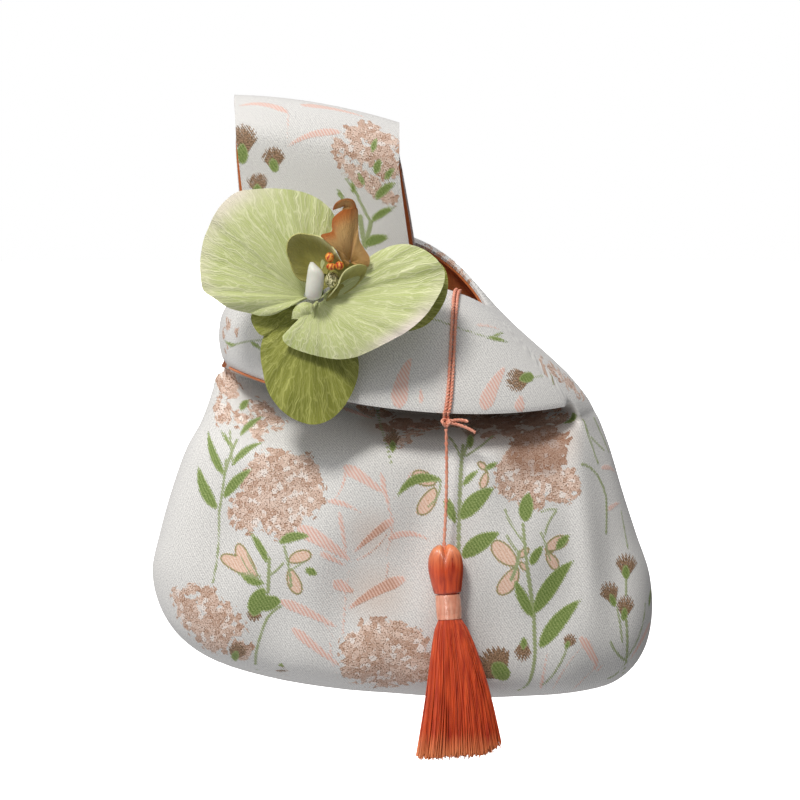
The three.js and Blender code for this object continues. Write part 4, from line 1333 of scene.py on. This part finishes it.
def bag_lining(grid, normal, facing, pouch_rows, collar_row):
    """Lining inside pouch and collar, and the edge of it that shows under the collar."""
    rows = np.concatenate([
        np.arange(6, pouch_rows - FOLD_ROWS, 6), np.arange(pouch_rows - FOLD_ROWS, collar_row + 4),
        np.arange(collar_row + 4, len(grid) - 2, 5), [len(grid) - 1],
    ])
    depth = BROCADE + LINING_GAP
    near = (grid - normal * depth)[rows][:, ::LINING_STEP]
    far = (grid - normal * (depth + LINING))[rows][:, ::LINING_STEP]
    lining = make_piece("bag_lining", *skin(np.concatenate([near, far[::-1]])), lining_satin)
    settle(lining, "lining_satin", "short_handle_lining")

    lower_edge = grid[collar_row] + normal[collar_row] * EDGE_OUT - [0, 0, LINING / 2]
    edge_x = photo_place(lower_edge)[:, 0]
    shown = facing & (edge_x > LINING_EDGE[0]) & (edge_x < LINING_EDGE[1])
    edge = plain_threads("lining_edge", [lower_edge[shown]], lining_satin, EDGE_RADIUS)
    settle(edge, "lining_satin")


def handle_rows():
    """Rows of points over the long handle's outside, from its front foot over the arch to its back foot."""
    share = np.linspace(0, 1, 9)
    spring_z, spring_left, spring_right, spring_depth = HANDLE_ROWS[-1][:4]

    def foot(side):
        x = blend(*HANDLE_FOOT, share)
        return ring_side(POUCH_RINGS, len(POUCH_RINGS) - 1, x, side) + [0, 0, HANDLE_FOOT_RISE]

    def strap(row, side):
        z, left, right, depth, bow, spread = row
        spread = spread if side > 0 else 0
        x = blend(left - spread, right + spread, share)
        return points_at(x, side * (depth - bow * (2 * share - 1) ** 2), z + HANDLE_TILT * x)

    def arch(turn):
        rise = math.sin(turn)
        left = blend(spring_left, HANDLE_CROWN[0], rise)
        right = blend(spring_right, HANDLE_CROWN[1], rise)
        x = blend(left, right, share)
        bow = HANDLE_CROWN_BOW * (2 * share - 1) ** 2
        y = -(spring_depth - bow) * math.cos(turn)
        return points_at(x, y, spring_z + (HANDLE_TOP - spring_z - bow) * rise + HANDLE_TILT * x)

    front = [strap(row, -1) for row in HANDLE_ROWS]
    over = [arch(turn) for turn in np.linspace(0, math.pi, 9)[1:-1]]
    back = [strap(row, 1) for row in HANDLE_ROWS[::-1]]
    return np.array([foot(-1), *front, *over, *back, foot(1)])


def handle_pieces():
    rows = handle_rows()
    grid = smooth_rows(rows, np.linspace(0, len(rows) - 1, HANDLE_GRID[0]))
    across_places = np.linspace(0, rows.shape[1] - 1, HANDLE_GRID[1])
    grid = np.swapaxes(smooth_rows(np.swapaxes(grid, 0, 1), across_places), 0, 1)
    half = len(grid) // 2
    along = running_length(grid.mean(axis=1))
    along = -np.abs(along - along[half])
    across = running_length(grid[half])
    weave = points_at(across[None, :], along[:, None], 0.0)
    facing = np.zeros(grid.shape[:2], bool)
    facing[:half] = True
    layers = woven_motifs(grid, weave, HANDLE_MOTIFS, facing)
    layers["weave"] = weave
    points, faces = skin(cloth_sheet(grid, 0, BROCADE), "zip")
    handle = make_piece("handle_brocade", points, faces, brocade, sheet_layers(layers))
    depth = BROCADE + HANDLE_LINING_GAP
    inside = cloth_sheet(grid[::LINING_STEP, ::LINING_STEP], depth, depth + LINING)
    lining = make_piece("handle_lining", *skin(inside, "zip"), lining_satin)
    settle(handle, "brocade", "long_handle")
    settle(lining, "lining_satin", "long_handle_lining")


bag_pieces()
handle_pieces()


# Doubled cord round the collar, and its knot
def loop_line(shift):
    """One of two cords: up the collar's front, over its top edge, down behind and back under it."""
    places = np.linspace(0, len(COLLAR_RINGS) - 1, 40)
    outside = ring_side(COLLAR_RINGS, places, blend(*LOOP_X, places / places[-1]) + shift, -1)
    out = unit(np.cross([1.0, 0, 0], np.gradient(outside, axis=0)))
    front = outside + out * LOOP_FRONT_GAP
    behind = outside - out * (BROCADE + LINING + LOOP_BACK_GAP)
    top = (front[-1] + behind[-1]) / 2 + np.array([0, 0, LOOP_TURN])
    bottom = (front[0] + behind[0]) / 2 - np.array([0, 0, LOOP_TURN])
    ring = np.concatenate([[bottom], front, [top], behind[::-1], [bottom]])
    return smooth_rows(ring, np.linspace(0, len(ring) - 1, 200))


def knot_lines():
    turn = np.linspace(0, 2 * math.pi, 60)
    wide, deep, high = KNOT_HALF
    x = wide * np.sin(turn) + KNOT_LOBES * np.sin(2 * turn)
    tie = points_at(x, deep * np.cos(2 * turn), high * np.cos(turn))
    share = np.linspace(0, 1, 16)[:, None]
    lines = [tie]
    for tip in np.array(KNOT_TAILS):
        lines.append(bent_line(np.zeros(3), tip / 2 + [0, 0, TAIL_RISE], tip, share))
    return [KNOT_PLACE + line for line in lines]


cord_loop = twisted_cord("cord_loop_twisted", [loop_line(-LOOP_SHIFT), loop_line(LOOP_SHIFT)])
cord_knot = twisted_cord("cord_knot_twisted", knot_lines(), KNOT_STRAND_OFFSET)
settle(cord_loop, "coral_cord", "cord_loop")
settle(cord_knot, "coral_cord", "cord_knot")


# Orchid
def seen_place(x, y, front):
    """Points that the camera sees at pixels x and y, where they stand in front of the band's face."""
    x, y, front = np.broadcast_arrays(x, y, front)
    sideways = (x - PHOTO_SIDE / 2) * PIXEL / CAMERA_DISTANCE
    upwards = (PHOTO_SIDE / 2 - y) * PIXEL / CAMERA_DISTANCE
    ray = CAMERA_FORWARD + sideways[..., None] * np.array([1.0, 0, 0]) + upwards[..., None] * CAMERA_UP
    reach = (FLOWER_DEPTH - front - CAMERA_PLACE[1]) / ray[..., 1]
    return CAMERA_PLACE + reach[..., None] * ray


def petal_surface(root, rim, dome, fold, margin):
    """Grid of a petal from its root to its rim, and each point's span, as petal_finish reads it."""
    rows = smooth_rows(rim, np.linspace(0, len(rim) - 1, RIM_STEPS * len(rim)))
    share = np.linspace(PETAL_START, 1, PETAL_ROWS)[:, None]
    middle = np.linspace(-1, 1, len(rows))
    x = blend(root[0], rows[:, 0], share)
    y = blend(root[1], rows[:, 1], share)
    front = blend(root[2], rows[:, 2], share) + dome * 4 * share * (1 - share)
    front = front + fold * (1 - np.sqrt(middle**2 + PETAL_FOLD_SOFT)) * np.sin(math.pi * share**0.8)
    along = running_length(rows[:, :2]) * PIXEL
    for height, step, growth in PETAL_WAVES:
        front = front + height * np.sin(along * step) * share**growth
    pale = np.clip(rows[:, 3], 0, 1) * smooth_step(margin, 1.0, share)
    return seen_place(x, y, front), points_at(along[None, :], share * PETAL_SPAN, pale)


def petal_piece(name, table, material, margin=PETAL_MARGIN, thick=PETAL_THICKNESS):
    grid, span = petal_surface(*table, margin)
    points, faces = skin(cloth_sheet(grid, -thick / 2, thick / 2), "zip")
    return make_piece(name, points, faces, material, sheet_layers({"span": span}))


def bump_piece(name, bumps, material):
    """Round bumps of the lip in one mesh."""
    points, faces = [], []
    turns = round_turns(20)
    for x, y, front, wide, high, deep in bumps:
        rings = []
        for tilt in np.linspace(-1.4, 1.4, 11):
            around = math.cos(tilt)
            ring_x = x + wide * around * np.cos(turns)
            ring_y = y + high * around * np.sin(turns)
            rings.append(seen_place(ring_x, ring_y, front + deep * math.sin(tilt)))
        bump_points, bump_faces = skin(rings)
        faces += [[corner + len(points) for corner in face] for face in bump_faces]
        points += bump_points.tolist()
    return make_piece(name, points, faces, material)


def column_solid():
    turns = round_turns(36)
    rings = []
    for y, left, right, front in smooth_rows(COLUMN_ROWS, np.linspace(0, len(COLUMN_ROWS) - 1, 40)):
        half = (right - left) / 2
        x = (left + right) / 2 + half * np.cos(turns)
        depth = half * PIXEL * COLUMN_DEPTH * np.sin(turns)
        rings.append(seen_place(x, y + half * COLUMN_LEAN * np.sin(turns), front + depth))
    return skin(rings)


for node, petal in PETALS.items():
    slot = node.split("_")[0] + "_cloth"
    finish = petal_cloth if slot == "petal_cloth" else sepal_cloth
    settle(petal_piece(node + "_cloth", petal, finish), slot, node)
settle(petal_piece("petal_right_shoulder", PETAL_SHOULDER, petal_cloth), "petal_cloth")
for name, lobe in LIP_LOBES.items():
    finish = lip_orange if name in ("lip_tongue", "lip_tip") else lip_green
    piece = petal_piece(name, lobe, finish, LIP_MARGIN[name], LIP_THICKNESS)
    settle(piece, "lip_cloth", *(["lip"] if name == "lip_left" else []))
settle(bump_piece("lip_callus", CALLUS_BUMPS, callus_finish), "lip_cloth")
settle(bump_piece("lip_spotted", [SPOTTED_BUMP], spotted_finish), "lip_cloth")
settle(make_piece("column_moulded", *column_solid(), column_plastic), "column_plastic", "column")
post = bpy.data.objects["flower_post"]
post.data.materials.clear()
post.data.materials.append(post_plastic)

# Floor, light and background
floor_finish, floor_tree = new_finish("floor_white", {"Roughness": 0.9, "Emission Strength": 1.0})
floor_cloud = floor_tree.noise(floor_tree.place(), 3.0)
floor_white = floor_tree.mix(floor_cloud, (0.96, 0.96, 0.96, 1), (1, 1, 1, 1))
floor_tree.wear({"Base Color": floor_white, "Emission Color": floor_white})
corners = np.array([[-1, -1, 0], [1, -1, 0], [1, 1, 0], [-1, 1, 0]]) * FLOOR_REACH
floor = make_piece("floor", corners + [0, 0, FLOOR_HEIGHT], [[0, 1, 2, 3]], floor_finish)
floor.visible_diffuse = False
floor.visible_glossy = False

world = bpy.data.worlds.new("studio")
world.use_nodes = True
bpy.context.scene.world = world
world_tree = Tree(world.node_tree)
sky = world_tree.node("ShaderNodeTexCoord", output="Generated")
# The sky is brighter above and below than level, and brighter at the left; the camera sees plain white
bright = (0.11 + sky.part(2).size() * 0.52 + sky.part(2) * 0.08 - sky.part(0) * 0.2).clamped()
soft = world_tree.mix(bright, (0, 0, 0, 1), (1.0, 0.99, 1.0, 1))
light = world_tree.node("ShaderNodeBackground", inputs={"Color": soft, "Strength": SKY_STRENGTH})
white = world_tree.node("ShaderNodeBackground", inputs={"Color": (1, 1, 1, 1), "Strength": 1.0})
seen = world_tree.node("ShaderNodeLightPath", output="Is Camera Ray")
both = world_tree.node("ShaderNodeMixShader", inputs={0: seen, 1: light, 2: white})
world_tree.feed(world.node_tree.nodes["World Output"].inputs["Surface"], both)

sun = bpy.data.lights.new("key", "SUN")
sun.energy = SUN_STRENGTH
sun.angle = SUN_SPREAD
sun.color = SUN_COLOUR
key = bpy.data.objects.new("key", sun)
key.rotation_euler = SUN_TURN
bpy.context.collection.objects.link(key)
bpy.context.scene.view_settings.view_transform = "Standard"
